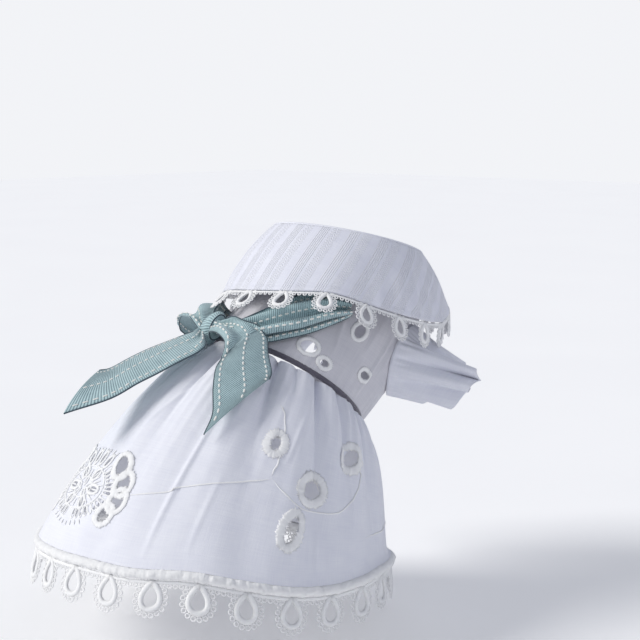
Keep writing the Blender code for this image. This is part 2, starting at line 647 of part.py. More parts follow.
def make_knot(group):
    shape = bmesh.new()
    out = spoke(WAIST_TILT, np.array(BOW_ANGLE))
    up = axes(WAIST_TILT)[0]
    middle = body_point(np.array(BOW_ANGLE), np.array(0.0), np.array(KNOT_RISE * BOW_RISE))
    frame = placed(middle, np.cross(up, out) * KNOT_WIDTH, up * KNOT_HEIGHT, out * KNOT_DEPTH)
    bmesh.ops.create_uvsphere(shape, u_segments=12, v_segments=8, radius=0.5, matrix=frame)
    mesh = bpy.data.meshes.new("bow_knot")
    shape.to_mesh(mesh)
    shape.free()
    mesh.materials.append(material("bow_knot", TEAL_RIBBON, 0.85))
    group.objects.link(bpy.data.objects.new("bow_knot", mesh))


def main():
    for old in list(bpy.data.objects):
        bpy.data.objects.remove(old)
    group = collection("dog_dress")
    cutters = collection("cutters")
    make_bodice(group, cutters)
    make_collar(group)
    make_lace("collar_lace", COLLAR_LACE_LOOPS, COLLAR_LACE_HEADER, COLLAR_LACE_LENGTH,
              collar_fall, LACE_GAP, group)
    make_piping(group)
    make_skirt(group, cutters)
    make_hem_cord(group)
    make_lace("hem_lace", HEM_LACE_LOOPS, HEM_LACE_HEADER, HEM_LACE_LENGTH, hem_fall,
              HEM_CORD_DIAMETER + 2 * CORD_GAP, group)
    make_sleeve("sleeve_right", 1, group)
    make_sleeve("sleeve_left", -1, group)
    make_knot(group)
    make_ribbon("bow_loop_right", LOOP_RIGHT, group)
    make_ribbon("bow_loop_left", LOOP_LEFT, group)
    make_ribbon("bow_tail_right", TAIL_RIGHT, group)
    make_ribbon("bow_tail_left", TAIL_LEFT, group)


main()
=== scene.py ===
"""Small dress for a pet in its worn form: white cotton with a cape collar, a gathered skirt, lace
edges and a grosgrain bow. Its shapes are functions of an angle round the body and a share of the
cloth's length, worked out on grids with numpy. Lengths are in metres.

Angles are in degrees from the middle of the back and grow towards the wearer's right side.
"""

import bmesh
import bpy
import numpy as np
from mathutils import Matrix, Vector


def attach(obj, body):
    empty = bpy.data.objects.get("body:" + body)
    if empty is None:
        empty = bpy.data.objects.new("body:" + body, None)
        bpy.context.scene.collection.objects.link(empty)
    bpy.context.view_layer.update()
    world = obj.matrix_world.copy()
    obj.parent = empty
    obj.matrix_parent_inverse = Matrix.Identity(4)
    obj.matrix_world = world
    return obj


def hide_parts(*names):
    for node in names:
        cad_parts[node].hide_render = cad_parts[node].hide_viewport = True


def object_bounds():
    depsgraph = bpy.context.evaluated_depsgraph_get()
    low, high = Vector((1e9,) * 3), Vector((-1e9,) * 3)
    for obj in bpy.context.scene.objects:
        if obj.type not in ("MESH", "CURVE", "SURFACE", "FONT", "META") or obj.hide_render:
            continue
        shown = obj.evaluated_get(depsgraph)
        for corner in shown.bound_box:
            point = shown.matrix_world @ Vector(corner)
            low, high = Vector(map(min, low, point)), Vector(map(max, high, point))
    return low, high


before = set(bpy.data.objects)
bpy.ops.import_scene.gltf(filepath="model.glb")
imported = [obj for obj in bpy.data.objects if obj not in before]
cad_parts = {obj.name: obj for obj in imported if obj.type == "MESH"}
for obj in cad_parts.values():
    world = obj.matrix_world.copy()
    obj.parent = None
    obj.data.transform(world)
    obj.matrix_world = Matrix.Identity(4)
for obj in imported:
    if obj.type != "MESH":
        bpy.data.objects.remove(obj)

cad_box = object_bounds()

# Rings of the dress: radius, tilt of the ring's axis, and how far and which way the next one lies
NECK_RADIUS = 0.056
NECK_TILT = 73.6
BODICE_LENGTH = 0.1252
BODICE_LEAN = 35.8
WAIST_RADIUS = 0.063
WAIST_TILT = 50.3
SKIRT_LENGTH = 0.1219
SKIRT_LEAN = 33.0
HEM_RADIUS = 0.1236
HEM_TILT = 81.6
COLLAR_LENGTH = 0.0479
COLLAR_LEAN = 13.5
COLLAR_EDGE_RADIUS = 0.0845
COLLAR_EDGE_TILT = 83.0

# Walls and clearances
CLOTH_THICKNESS = 0.0012
COLLAR_THICKNESS = 0.0013
SLEEVE_THICKNESS = 0.0011
SEAM_GAP = 0.0003
PIPING_GAP = 0.0007
LACE_GAP = 0.0012
CORD_GAP = 0.0008

# Bodice
CHEST_FULLNESS = 0.016
BACK_HOLLOW = 0.005

# Collar: its edge hangs lower by shares of the dip and stands out by shares of the lift
COLLAR_DIP = 0.010
COLLAR_LIFT = 0.009
COLLAR_LIFT_CURVE = 1.5
COLLAR_FALL_FROM = 0.7
COLLAR_SHAPE_NAMES = ("angle", "dip", "lift", "flare")
COLLAR_SHAPE = [
    (-180, 0.0, 0.0, -24), (-127, -0.2, 0.0, -24), (-105, 0.3, 0.0, -24), (-80, 0.1, 0.0, -18),
    (-55, -0.1, 0.15, -6), (-35, -0.2, 0.45, 6), (-15, -0.6, 0.9, 10), (3, -0.8, 1.0, 10),
    (20, -1.0, 1.0, 8), (38, -1.1, 0.8, 2), (58, -0.4, 0.35, -6), (79, 0.25, 0.05, -14),
    (108, 0.5, 0.0, -24), (130, -0.3, 0.0, -26), (155, 0.0, 0.0, -24),
]

# Waist piping
PIPING_DIAMETER = 0.003

# Skirt: share of the flare that is reached at each share of its length
SKIRT_FLARE = [(0.0, 0.0), (0.1, 0.15), (0.25, 0.36), (0.5, 0.64), (0.75, 0.85), (1.0, 1.0)]
SKIRT_LEFT_TUCK = 0.006
SKIRT_HANG = 0.15
HEM_DIP = 0.006
HEM_SHAPE_NAMES = ("angle", "dip")
HEM_SHAPE = [
    (-180, 0.0), (-120, 0.0), (-60, 0.15), (-22, 0.0), (0, -0.4), (20, -0.5), (40, -1.0),
    (56, -0.4), (70, 0.1), (84, 0.1), (94, -0.25), (105, -0.75), (122, -1.0), (150, -0.5),
]
GATHER_DEPTH = 0.0058
GATHER_HALF_WIDTH = 4.6
GATHER_AT_WAIST = 0.35
GATHER_AT_HEM = 0.2
GATHER_START = 0.1
GATHER_WIDENING = 0.5

# Gathers: angle at the waist, how far it drifts on the way to the hem, share of the full depth, and
# the share of the length by which it has faded
GATHERS = [
    (-172, 0, 0.8, 0.9), (-153, -3, 0.9, 0.8), (-134, -6, 0.8, 0.9), (-116, -9, 1.0, 0.7),
    (-97, -12, 0.8, 0.9), (-80, -16, 1.0, 0.8), (-63, -19, 0.9, 0.9), (-46, -16, 1.0, 0.7),
    (-30, -12, 0.9, 0.9), (-14, -4, 0.8, 0.6), (4, 4, 0.9, 0.8), (20, 14, 0.7, 0.35),
    (35, 20, 1.2, 0.75), (48, 18, 0.7, 0.35), (63, 16, 1.2, 0.85), (80, 12, 0.9, 0.8),
    (99, 10, 1.0, 0.9), (117, 8, 0.8, 0.7), (136, 5, 1.0, 0.9), (154, 3, 0.8, 0.8),
]

# Open eyelets: place round the body, share of the cloth's length from the waist seam, the two
# diameters as shares of the eyelet's size, and a turn in degrees
EYELET_SIZE = 0.014
SKIRT_EYELETS = [
    (71, 0.56, 0.96, 1.07, 0), (66, 0.73, 0.6, 1.35, -8), (88, 0.38, 0.68, 1.07, -28),
    (52, 0.44, 0.43, 0.71, 0), (-103, 0.56, 0.96, 1.07, 0), (-97, 0.73, 0.6, 1.35, 8),
    (-120, 0.38, 0.68, 1.07, 28), (-83, 0.44, 0.43, 0.71, 0), (165, 0.56, 0.96, 1.07, 0),
    (160, 0.73, 0.6, 1.35, -8), (-175, 0.38, 0.68, 1.07, -28),
]
BODICE_EYELETS = [
    (49, 0.14, 0.85, 0.64, 0), (63, 0.09, 0.5, 0.36, 0), (74, 0.38, 0.57, 0.78, 0),
    (93, 0.17, 0.57, 0.43, 0), (-60, 0.14, 0.85, 0.64, 0), (-80, 0.38, 0.57, 0.78, 0),
    (165, 0.32, 0.85, 0.64, 0),
]

# Cutwork flower at the centre back: an oval with open eyelets at its sides and slits in it. A hole
# has a clock angle, a reach as a share of the oval, and diameters as shares of the eyelet's size
FLOWER_ANGLE = -15.0
FLOWER_DOWN = 0.74
FLOWER_HALF_WIDTH = 0.042
FLOWER_HALF_HEIGHT = 0.026
FLOWER_EYELET_TURN = 0.55
FLOWER_SLIT_REACH = (0.8, 1.0)
FLOWER_HOLES = [
    (45, 1.06, 0.64, 1.07), (18, 1.02, 0.64, 0.95), (-8, 1.02, 0.64, 0.9), (-33, 1.06, 0.57, 0.75),
    (135, 1.06, 0.64, 1.07), (162, 1.02, 0.64, 0.95), (188, 1.02, 0.64, 0.9),
    (213, 1.06, 0.57, 0.75), (66, 0.86, 0.22, 0.6), (82, 0.86, 0.22, 0.6), (98, 0.86, 0.22, 0.6),
    (114, 0.86, 0.22, 0.6), (0, 0.36, 0.3, 0.8), (60, 0.46, 0.28, 0.55), (120, 0.46, 0.28, 0.55),
    (180, 0.36, 0.3, 0.8), (240, 0.46, 0.28, 0.55), (300, 0.46, 0.28, 0.55),
]

# Hem cord and the two laces
HEM_CORD_DIAMETER = 0.0052
HEM_FLARE = 8.0
HEM_LACE_LOOPS = 26
HEM_LACE_LENGTH = 0.0235
HEM_LACE_HEADER = 0.0025
COLLAR_LACE_LOOPS = 20
COLLAR_LACE_LENGTH = 0.0185
COLLAR_LACE_HEADER = 0.002

# Armholes and flutter sleeves
ARMHOLE_ANGLE = 126.0
ARMHOLE_DOWN = 0.6
ARMHOLE_RADIUS = 0.027
ARMHOLE_AXIS = (0.31, -0.94, -0.145)
SLEEVE_LENGTH = 0.054
SLEEVE_FORWARD = 0.65
SLEEVE_FLUTES = 8
SLEEVE_FLUTE_DEPTH = 0.0092
SLEEVE_FLUTE_AT_SHORT = 0.1
SLEEVE_FLUTE_FLATNESS = 0.35
SLEEVE_GATHER = 0.0009
SLEEVE_GATHER_FADE = 0.35
SLEEVE_GATHER_ONSET = 10
SLEEVE_WALL = 0.0006

# Uneven spacing of the flutes: size in radians, waves round the armhole and start of each wave
SLEEVE_FLUTE_DRIFT = [(0.9, 2, 0), (0.6, 3, 1)]

# Part of the bodice that is searched for the armhole's seam: first, last and count
ARMHOLE_ANGLES = (55, 195, 281)
ARMHOLE_SHARES = (0.05, 1.0, 191)
ARMHOLE_SEARCH = 0.002
ARMHOLE_CORE = 0.001

# Sleeve round the armhole, from the back upwards: share of its length, and how far it droops and
# spreads for each step out
SLEEVE_SHAPE_NAMES = ("angle", "length", "droop", "spread")
SLEEVE_SHAPE = [
    (0, 1.14, 0.1, 0.26), (45, 1.16, 0.5, 0.2), (90, 1.0, 1.05, 0.0), (135, 0.85, 0.9, 0.05),
    (180, 0.5, 0.4, 0.1), (225, 0.3, 0.1, 0.15), (270, 0.46, 0.0, 0.05), (315, 0.9, 0.05, 0.12),
]

# Ribbon bow: each row gives the lower and the upper edge as an angle from the knot, a height
# over the waist seam in ribbon widths and a distance from the cloth as a share of the rise
BOW_ANGLE = -16.0
BOW_RISE = 0.010
RIBBON_WIDTH = 0.040
RIBBON_CROWN = 0.0008
KNOT_WIDTH = 0.0168
KNOT_HEIGHT = 0.025
KNOT_DEPTH = 0.0134
KNOT_RISE = 0.9
LOOP_RIGHT = [
    (7.2, -0.12, 0.95, 7.2, 0.14, 0.85), (19, -0.18, 0.8, 17, 0.38, 0.75),
    (29, -0.1, 0.8, 26, 0.64, 0.85), (40, 0.14, 0.95, 34, 0.92, 0.95), (55, 0.55, 0.95, 46, 1.34, 0.95),
    (67, 1.0, 0.85, 60, 1.56, 0.85), (76, 1.28, 0.7, 71, 1.6, 0.7),
    (79, 1.36, 0.5, 74, 1.6, 0.5), (77, 1.25, 0.35, 71, 1.55, 0.35),
    (62, 0.68, 0.35, 54, 1.38, 0.35), (51, 0.36, 0.35, 42, 1.05, 0.35),
    (40, 0.08, 0.35, 32, 0.75, 0.35), (22, -0.18, 0.4, 20, 0.42, 0.35),
    (7.2, -0.12, 0.5, 7.2, 0.14, 0.45),
]
LOOP_LEFT = [
    (-6, -0.17, 0.95, -6, 0.21, 0.9), (-12, -0.13, 1.7, -11, 0.55, 1.25),
    (-18, -0.05, 2.4, -16, 0.83, 1.2), (-26, 0.03, 2.75, -22, 1.0, 1.15),
    (-35, 0.11, 2.6, -30, 1.07, 1.1), (-45, 0.21, 2.1, -40, 1.13, 1.0),
    (-55, 0.33, 1.4, -50, 1.15, 0.9), (-61, 0.41, 0.85, -57, 1.15, 0.6),
    (-57, 0.37, 0.35, -53, 1.11, 0.35), (-47, 0.29, 0.35, -43, 1.05, 0.35),
    (-36, 0.19, 0.38, -32, 0.93, 0.38), (-20, -0.03, 0.45, -18, 0.55, 0.45),
    (-6, -0.17, 0.5, -6, 0.21, 0.45),
]
TAIL_RIGHT = [
    (6.6, -0.22, 0.85, 6.6, 0.24, 1.0), (17, -0.3, 1.1, 16, 0.3, 1.3),
    (28, -0.46, 1.2, 26, 0.22, 1.45), (32, -0.66, 1.0, 36, 0.2, 1.3),
    (33, -0.82, 0.9, 42, -0.05, 1.0), (37, -1.04, 0.8, 48, -0.32, 0.65),
    (42, -1.29, 0.7, 54, -0.56, 0.5), (43, -1.52, 0.65, 55, -0.68, 0.5),
]
TAIL_LEFT = [
    (6, -0.29, 0.8, -9, -0.15, 1.0), (16, -0.48, 0.75, -6, -0.31, 1.1),
    (17, -0.64, 0.75, -8, -0.46, 1.25), (15, -0.82, 0.95, -9, -0.62, 1.5),
    (12, -1.05, 1.3, -10, -0.81, 1.9), (9, -1.24, 1.7, -10, -0.99, 2.3),
    (6, -1.5, 2.35, -10, -1.18, 2.75), (1, -1.82, 3.9, -10, -1.27, 3.25),
]

# Fine grids of the scene's pieces
SKIRT_COLUMNS = 600
SKIRT_ROWS = 150
BODICE_FINE_COLUMNS = 420
BODICE_FINE_ROWS = 120
COLLAR_FINE_COLUMNS = 420
COLLAR_FINE_ROWS = 56
SLEEVE_FINE_COLUMNS = 240
SLEEVE_FINE_ROWS = 34
RIBBON_COLUMNS = 21
RIBBON_STEPS = 20
PIPING_SECTIONS = 720
PIPING_SIDES = 12
NECK_FOLD_SECTIONS = 480
NECK_FOLD_SIDES = 10
THREAD_SIDES = 6
WELD = 0.000002
STEP_TURN = 0.3
STEP_SHARE = 0.0015
FACE_TURN = 0.5
FACE_REACH = 0.15
HOLE_CORE = 0.05

# Rolled hem cord and piping: how much fuller than the plain ones, and how uneven they are
HEM_CORD_SECTIONS = 1400
HEM_CORD_SIDES = 16
HEM_CORD_FULLNESS = 1.22
HEM_CORD_STRANDS = 2
HEM_CORD_TWISTS = 60
HEM_CORD_STRAND_DEPTH = 0.05
HEM_CORD_FLUFF = 0.05
HEM_CORD_FLUFF_SEED = 31
HEM_CORD_SWELL = 0.06
PIPING_FULLNESS = 1.3
PIPING_SWELL = 0.025

# Ripples of each cloth: seed, fewest and most waves round the body, and slant along the cloth
RIPPLE_COUNT = 8
PHASE_RANGE = 6.28
SKIRT_PUCKER_WAVES = (3, (44, 90), 2.0)
SKIRT_WRINKLE_WAVES = (5, (9, 26), 4.0)
BODICE_WRINKLE_WAVES = (12, (7, 20), 5.0)
BODICE_PUCKER_WAVES = (14, (30, 60), 3.0)
COLLAR_WAVES = (21, (4, 11), 3.0)
HEM_CORD_WAVES = (33, (60, 150), 0.0)
PIPING_WAVES = (35, (50, 130), 0.0)
SLEEVE_WAVES = (41, (22, 40), 0.0)

# Wrinkles and puckers of the cloth. A fold runs from one angle to another between two shares of
# the length, and has a height and a half width in degrees
FOLD_ENDS = 0.6
SKIRT_PUCKER = 0.0012
SKIRT_PUCKER_FADE = 0.22
SKIRT_PUCKER_ONSET = 12
SKIRT_WRINKLE = 0.0008
SKIRT_WRINKLE_ONSET = 3
SKIRT_CALM_AT_HEM = 8
SKIRT_PLEAT = 0.0046
SKIRT_PLEAT_HALF_WIDTH = 1.3
SKIRT_PLEAT_START = 0.03
SKIRT_PLEAT_FADE = 0.75
SKIRT_CREASE_HALF_WIDTH = 0.9
SKIRT_CREASES = [
    (27, 23, 0.30, 0.98, 0.0015), (60, 58, 0.30, 0.50, 0.0010), (84, 92, 0.32, 0.62, 0.0010),
    (12, -2, 0.20, 0.50, 0.0009), (76, 78, 0.70, 0.95, 0.0009), (38, 36, 0.60, 0.92, 0.0007),
    (102, 108, 0.40, 0.80, 0.0009), (-60, -70, 0.30, 0.75, 0.0012), (150, 146, 0.35, 0.80, 0.0012),
]
BODICE_WRINKLE = 0.0009
BODICE_PUCKER = 0.0006
BODICE_PUCKER_FROM = 0.8
BODICE_PUCKER_RISE = 0.2
BODICE_CALM_AT_WAIST = 10
BODICE_FOLDS = [
    (99, 96, 0.42, 0.98, 0.0016, 1.4), (106, 103, 0.35, 0.80, 0.0014, 1.6),
    (86, 84, 0.48, 0.74, 0.0009, 1.8), (58, 66, 0.45, 0.85, 0.0009, 2.0),
    (-99, -96, 0.42, 0.98, 0.0016, 1.4), (-106, -103, 0.35, 0.80, 0.0014, 1.6),
    (20, 12, 0.40, 0.80, 0.0008, 2.2), (170, 166, 0.30, 0.80, 0.0010, 2.4),
]
COLLAR_WRINKLE = 0.0008
COLLAR_ROLL = 0.0036
COLLAR_ROLL_SKEW = 0.8

# Folds of the collar's edge: angle, half width in degrees and height
COLLAR_FOLD_FROM = 0.3
COLLAR_FOLD_RISE = 0.7
COLLAR_FOLDS = [
    (62, 4.0, 0.0014), (74, 3.6, 0.0022), (84, 3.2, 0.0028), (93, 3.4, 0.0026), (104, 4.0, 0.0020),
    (-64, 4.0, 0.0014), (-76, 3.6, 0.0022), (-87, 3.2, 0.0026), (-98, 4.0, 0.0020),
    (150, 5.0, 0.0016), (-150, 5.0, 0.0016), (18, 5.0, 0.0008), (-25, 5.0, 0.0009),
]
COLLAR_HEM = 0.0035
STITCH_GROOVE_DEPTH = 0.0004
STITCH_GROOVE_WIDTH = 0.0006
NECK_FOLD = 0.0026

# Satin cords: how far their middle lies outside the hole's edge and how they dip between threads
THREAD = 0.0010
THREAD_UNEVEN = 0.05
CORD_LIFT = 0.2
SATIN_SIDES = 8
SATIN_OFFSET = 0.40
SATIN_DIP = 0.28
SATIN_CORD = 0.0044
SATIN_HIGH = 0.0014
WIDE_SATIN_CORD = 0.0072
WIDE_SATIN_HIGH = 0.0013
RAGGED = 0.16
RAGGED_LIMIT = 1.6
SMALL_HOLE = 0.005
SATIN_SHARE_FLOWER = 1.15
SATIN_SHARE_SMALL = 0.6
SATIN_SHARE_SLOT = 0.26
SATIN_SHARE_PETAL = 0.4
SATIN_SHARE_BODICE = 0.85
SLOT_HIGH_SHARE = 0.7

# Seeds of the uneven threads
SLOT_SEED = 40
ARCH_SEED = 80
BODICE_RING_SEED = 120
PETAL_SEED = 200
RAGGED_SEED = 300
LOOP_SEED = 7
HEADER_SEED = 9

# Flower: its arches, and rings of bars from one reach to another with their count and width
ARCH_CORD = 0.0013
ARCH_HIGH = 0.0009
FLOWER_ARCHES = (0.59, 0.27)
FLOWER_BAR_RINGS = [(0.31, 0.54, 24, 0.0015), (1.0, 1.14, 50, 0.0013)]
FLOWER_BAR_HIGH = 0.0011
BAR_SECTIONS = 14
BAR_SWAY = 0.03
BAR_SWAY_TURNS = 7
BAR_END = 0.12
BAR_TAPER = 0.5
BAR_DIP = 0.25
BAR_LIFT = 0.3
OUTER_BAR_STEEPNESS = 0.86
PETAL_COUNT = 5
PETAL_FIRST = 20
PETAL_REACH = 0.2
PETAL_WIDTH = 0.002
PETAL_LENGTH = 0.006

# Slots between the flower's arch and its eyelets, and vines through points of angle and share
SLOT_COUNT = 40
SLOT_CLEARANCE = 7
SLOT_FIRST = -78
SLOT_LAST = 258
SLOT_REACH = 0.76
SLOT_WIDTH = 0.0023
SLOT_LENGTH = 0.0072
VINE_WIDTH = 0.0013
VINE_HIGH = 0.0009
VINE_SECTIONS = 260
VINE_SWAY = 0.15
VINE_SWAY_TURNS = 9.0
VINE_DIP = 0.3
VINE_TAPER = 8
VINES = [
    [(6, 0.74), (23, 0.69), (26, 0.67), (44, 0.61), (55, 0.565)],
    [(54, 0.56), (62, 0.61), (70, 0.64), (84, 0.62), (91, 0.54), (94, 0.44), (90, 0.41)],
    [(54, 0.56), (55, 0.5), (54, 0.4), (51, 0.32), (48, 0.29)],
]

# Clusters of vines: 1 as they are or -1 mirrored, and a shift in degrees
CLUSTERS = [(1, 0), (-1, -32), (1, 94)]

# Lace loops
TEARDROP_WIDTH = 0.56
TEARDROP_POINT = 0.7
LOOP_TOP = 0.4
LOOP_BOTTOM = (1.7, 0.5)
LOOP_RUN = 2.3
LOOP_DIP = 0.26
LOOP_FLATNESS = 0.62
HEADER_SECTIONS = 44
HEADER_DIP = 0.22
HEADER_HIGH = 0.0012
HEM_LOOP_WIDTH = 0.0134
HEM_LOOP_CORD = 0.0045
HEM_PICOT = 0.0018
HEM_PICOTS = 16
COLLAR_LOOP_WIDTH = 0.0092
COLLAR_LOOP_CORD = 0.0036
COLLAR_PICOT = 0.0014
COLLAR_PICOTS = 14
PICOT_POINTS = 10
PICOT_SIDES = 4
PICOT_CORD = 0.0010
PICOT_AWAY = (0.5, 0.72)
PICOT_RADIUS = 0.8
EDGE_PICOTS = (0.24, 0.76, 5)
EDGE_PICOT_RADIUS = 0.75
EDGE_PICOT_DROP = 0.35

# Collar pattern: how much of a full turn the flat collar covers, and its inner edge
CONE_SHARE = 0.49
CONE_START = 0.116

# Woven stripes: their repeat in metres, the middle and half width of each band as shares of it,
# and the lines and the zigzag in the bands
DOBBY_REPEAT = 0.02
DOBBY_LINES = 15
DOBBY_LINE_SHARPNESS = 1.5
DOBBY_LINE_BAND = (0.22, 0.17)
DOBBY_ZIGZAG_BAND = (0.62, 0.15)
DOBBY_ZIGZAG_WAVES = 12.0
DOBBY_ZIGZAG_PITCH = 0.0016
DOBBY_ZIGZAG_BEND = 0.8
DOBBY_ZIGZAG_HEIGHT = 0.8
DOBBY_BUMP = 4.5
DOBBY_TONE = (0.7, -0.25)

# Weave and ribs: scales of the slubs and of the threads across the ribs, and shares of the depth
SLUB_FINE = 1500.0
SLUB_LONG = 45.0
WEAVE_DEPTH = 0.35
SLUB_DEPTH = 1.6
WEAVE_SPACING = 0.0007
RIB_THREADS = (2500.0, 250.0, 1.0)
RIB_SPACING = 0.0015
PIPING_RIB_SPACING = 0.0007
TONE_SCALE_SHARE = 0.06

# Ribbon: its wall, dark cords along its edges as painted shadow lines, running stitches and lengthwise
# pleats, and the knot
RIBBON_WALL = 0.0007
EDGE_SHADOW_CORD = (0.0009, 0.0011)
STITCH_ROWS = (0.1, 0.5, 0.9)
STITCH_PITCH = 0.0046
STITCH_LENGTH = 0.0030
STITCH_WIDTH = 0.0014
STITCH_HIGH = 0.0009
STITCH_SECTIONS = 9
STITCH_LIFT = 0.00045
KNOT_ROWS = 64
KNOT_COLUMNS = 96
KNOT_SQUARENESS = 0.75
KNOT_ROUNDNESS = 0.55
KNOT_FOLD = 0.07
KNOT_FOLDS = 7
KNOT_FOLD_DRIFT = 0.7
KNOT_PATTERN = 3
KNOT_PATTERN_SEAM = 0.0001
# Dark cords round the knot where the ribbon's edges lie: painted shadow lines
KNOT_EDGE_SHADOW = (0.0011, 0.0012)
KNOT_EDGE_SHADOW_ROWS = (14, 49)
PLEATS = 2
LOOP_PLEAT_REACH = 0.5
LEFT_PLEAT_REACH = 0.2
TAIL_PLEAT_REACH = 0.22

# Colours
COTTON_LIGHT = (0.90, 0.91, 0.95)
COTTON_SHADE = (0.72, 0.73, 0.83)
# Bodice cotton: a darker copy of the white cotton, painted shade of the collar's shadow together with
# the grey of fur seen through the thin cloth
SHADED_BODICE_HIGH = (0.74, 0.73, 0.76)
SHADED_BODICE_LOW = (0.52, 0.52, 0.58)
LACE_LOW = (0.86, 0.86, 0.87)
LACE_HIGH = (0.96, 0.96, 0.95)
STITCH_TONE_LOW = (0.75, 0.76, 0.72)
STITCH_TONE_HIGH = (0.93, 0.93, 0.88)
# Ribbon: blended by random tone and by painted shade, darker in the valleys between the ribs
RIBBON_LOW = (0.11, 0.20, 0.235)
RIBBON_HIGH = (0.56, 0.75, 0.77)
# Dark cords along the edges of the ribbon and the knot: painted shadow lines
EDGE_SHADOW_LOW = (0.03, 0.055, 0.075)
EDGE_SHADOW_HIGH = (0.07, 0.11, 0.14)
# Piping: blended by random tone and by painted shade, darker in the valleys between the ribs
PIPING_LOW = (0.05, 0.045, 0.065)
PIPING_HIGH = (0.16, 0.15, 0.19)
FLOOR_LOW = (0.88, 0.88, 0.89)
FLOOR_HIGH = (0.93, 0.93, 0.93)

# Studio and camera
FLOOR_SIZE = 12.0
FLOOR_GLOW = 0.15
FLOOR_GAP = 0.012
BACKDROP = (0.89, 0.90, 0.93)
SKY_COLOUR = (0.84, 0.88, 1.0)
SKY_STRENGTH = 0.44
CAMERA_TARGET = (-0.0490, -0.0161, -0.0536)
CAMERA_DISTANCE = 1.0
CAMERA_AZIMUTH = -47.8
CAMERA_ELEVATION = 8.4
CAMERA_LENS = 77.1
SUNS = [
    ("key", (-0.62, 0.52, 0.60), 26.0, 2.25, (1.0, 0.985, 0.95)),
    ("fill", (0.30, -0.85, 0.45), 90.0, 0.25, (0.82, 0.86, 1.0)),
]

SIDE = np.array([0.0, -1.0, 0.0])


def column(rows, names, name):
    """One named column of a table."""
    place = names.index(name)
    return np.array([row[place] for row in rows], float)


def hermite(at, places, values):
    """Smooth curve through the points of a table: cubic pieces, each given by the values at its two
    ends and by the slopes there."""
    slopes = np.gradient(values, places)
    k = np.clip(np.searchsorted(places, at, side="right") - 1, 0, len(places) - 2)
    wide = places[k + 1] - places[k]
    u = np.clip((at - places[k]) / wide, 0.0, 1.0)
    a = (1 + 2 * u) * (1 - u) ** 2
    b = u * (1 - u) ** 2 * wide
    c = u * u * (3 - 2 * u)
    d = u * u * (u - 1) * wide
    return a * values[k] + b * slopes[k] + c * values[k + 1] + d * slopes[k + 1]


def around(angle, rows, names, name):
    """A table column as a smooth closed curve of the angle."""
    places = column(rows, names, "angle")
    start = places[0]
    at = (np.asarray(angle, float) - start) % 360.0 + start
    places = np.concatenate([places - 360.0, places, places + 360.0])
    return hermite(at, places, np.tile(column(rows, names, name), 3))


def smooth(share):
    """Soft step from 0 to 1: three squares less two cubes of the share."""
    share = np.clip(share, 0.0, 1.0)
    return share * share * (3 - 2 * share)


def unit(v):
    """Vectors divided by their lengths."""
    return v / np.linalg.norm(v, axis=-1, keepdims=True)


def pair(first, second):
    """Two numbers or arrays as float arrays of one shape."""
    return np.broadcast_arrays(np.asarray(first, float), np.asarray(second, float))


def between(first, last, share):
    """Straight run from one value to another."""
    return first + (last - first) * share


def wrapped(angle):
    """The same angle between -180 and 180 degrees."""
    return (angle + 180.0) % 360.0 - 180.0


def ring_angles(count):
    """Even angles once round."""
    return np.arange(count) * 360.0 / count


def axes(tilt):
    """Axis to the neck and direction to the back for a ring tilted by this angle: the axis is its
    cosine forwards and its sine upwards."""
    a = np.radians(np.asarray(tilt, float))
    zero = np.zeros_like(a)
    return (np.stack([np.cos(a), zero, np.sin(a)], -1),
            np.stack([-np.sin(a), zero, np.cos(a)], -1))


def below(point, length, lean):
    """Point at a distance: the cosine of the lean down and its sine towards the tail."""
    a = np.radians(lean)
    return point + length * np.array([-np.sin(a), 0.0, -np.cos(a)])


NECK_MIDDLE = np.zeros(3)
WAIST_MIDDLE = below(NECK_MIDDLE, BODICE_LENGTH, BODICE_LEAN)
HEM_MIDDLE = below(WAIST_MIDDLE, SKIRT_LENGTH, SKIRT_LEAN)
COLLAR_MIDDLE = below(NECK_MIDDLE, COLLAR_LENGTH, COLLAR_LEAN)


def spine(first, first_tilt, last, last_tilt, share, pull=1.0 / 3.0):
    """Point on the curved middle line between two rings: a cubic curve that leaves each square on."""
    reach = np.linalg.norm(last - first) * pull
    p1 = first - axes(first_tilt)[0] * reach
    p2 = last + axes(last_tilt)[0] * reach
    t = np.asarray(share, float)[..., None]
    return ((1 - t) ** 3 * first + 3 * (1 - t) ** 2 * t * p1 + 3 * (1 - t) * t * t * p2
            + t ** 3 * last)


def spoke(tilt, angle):
    """Direction out of a tilted ring: the cosine towards the back and the sine towards the side."""
    a = np.radians(angle)
    return np.cos(a)[..., None] * axes(tilt)[1] + np.sin(a)[..., None] * SIDE


def bodice_point(angle, share):
    """Outer face of the bodice, from the neck seam to the waist seam: rings along the spine that
    swell at the chest and draw in at the back by a sine of the share."""
    angle, share = pair(angle, share)
    front = 0.5 - 0.5 * np.cos(np.radians(angle))
    swell = np.sin(np.pi * np.clip(share, 0.0, 1.0))
    radius = between(NECK_RADIUS, WAIST_RADIUS, share)
    radius = radius + CHEST_FULLNESS * swell * front - BACK_HOLLOW * swell * (1 - front)
    centre = spine(NECK_MIDDLE, NECK_TILT, WAIST_MIDDLE, WAIST_TILT, share)
    return centre + radius[..., None] * spoke(between(NECK_TILT, WAIST_TILT, share), angle)


def gather_depth(angle, share):
    """How far the gathers fold inwards: a bell across each, that grows at the waist and fades."""
    deep = np.zeros(np.shape(angle))
    for place, drift, depth, reach in GATHERS:
        off = wrapped(angle - place - drift * share)
        wide = GATHER_HALF_WIDTH * (1 + GATHER_WIDENING * share)
        near = GATHER_AT_WAIST + (1 - GATHER_AT_WAIST) * smooth(share / GATHER_START)
        fade = GATHER_AT_HEM + (1 - GATHER_AT_HEM) * (1 - smooth(share / reach))
        deep = deep + GATHER_DEPTH * depth * near * fade * np.exp(-(off / wide) ** 2)
    return deep


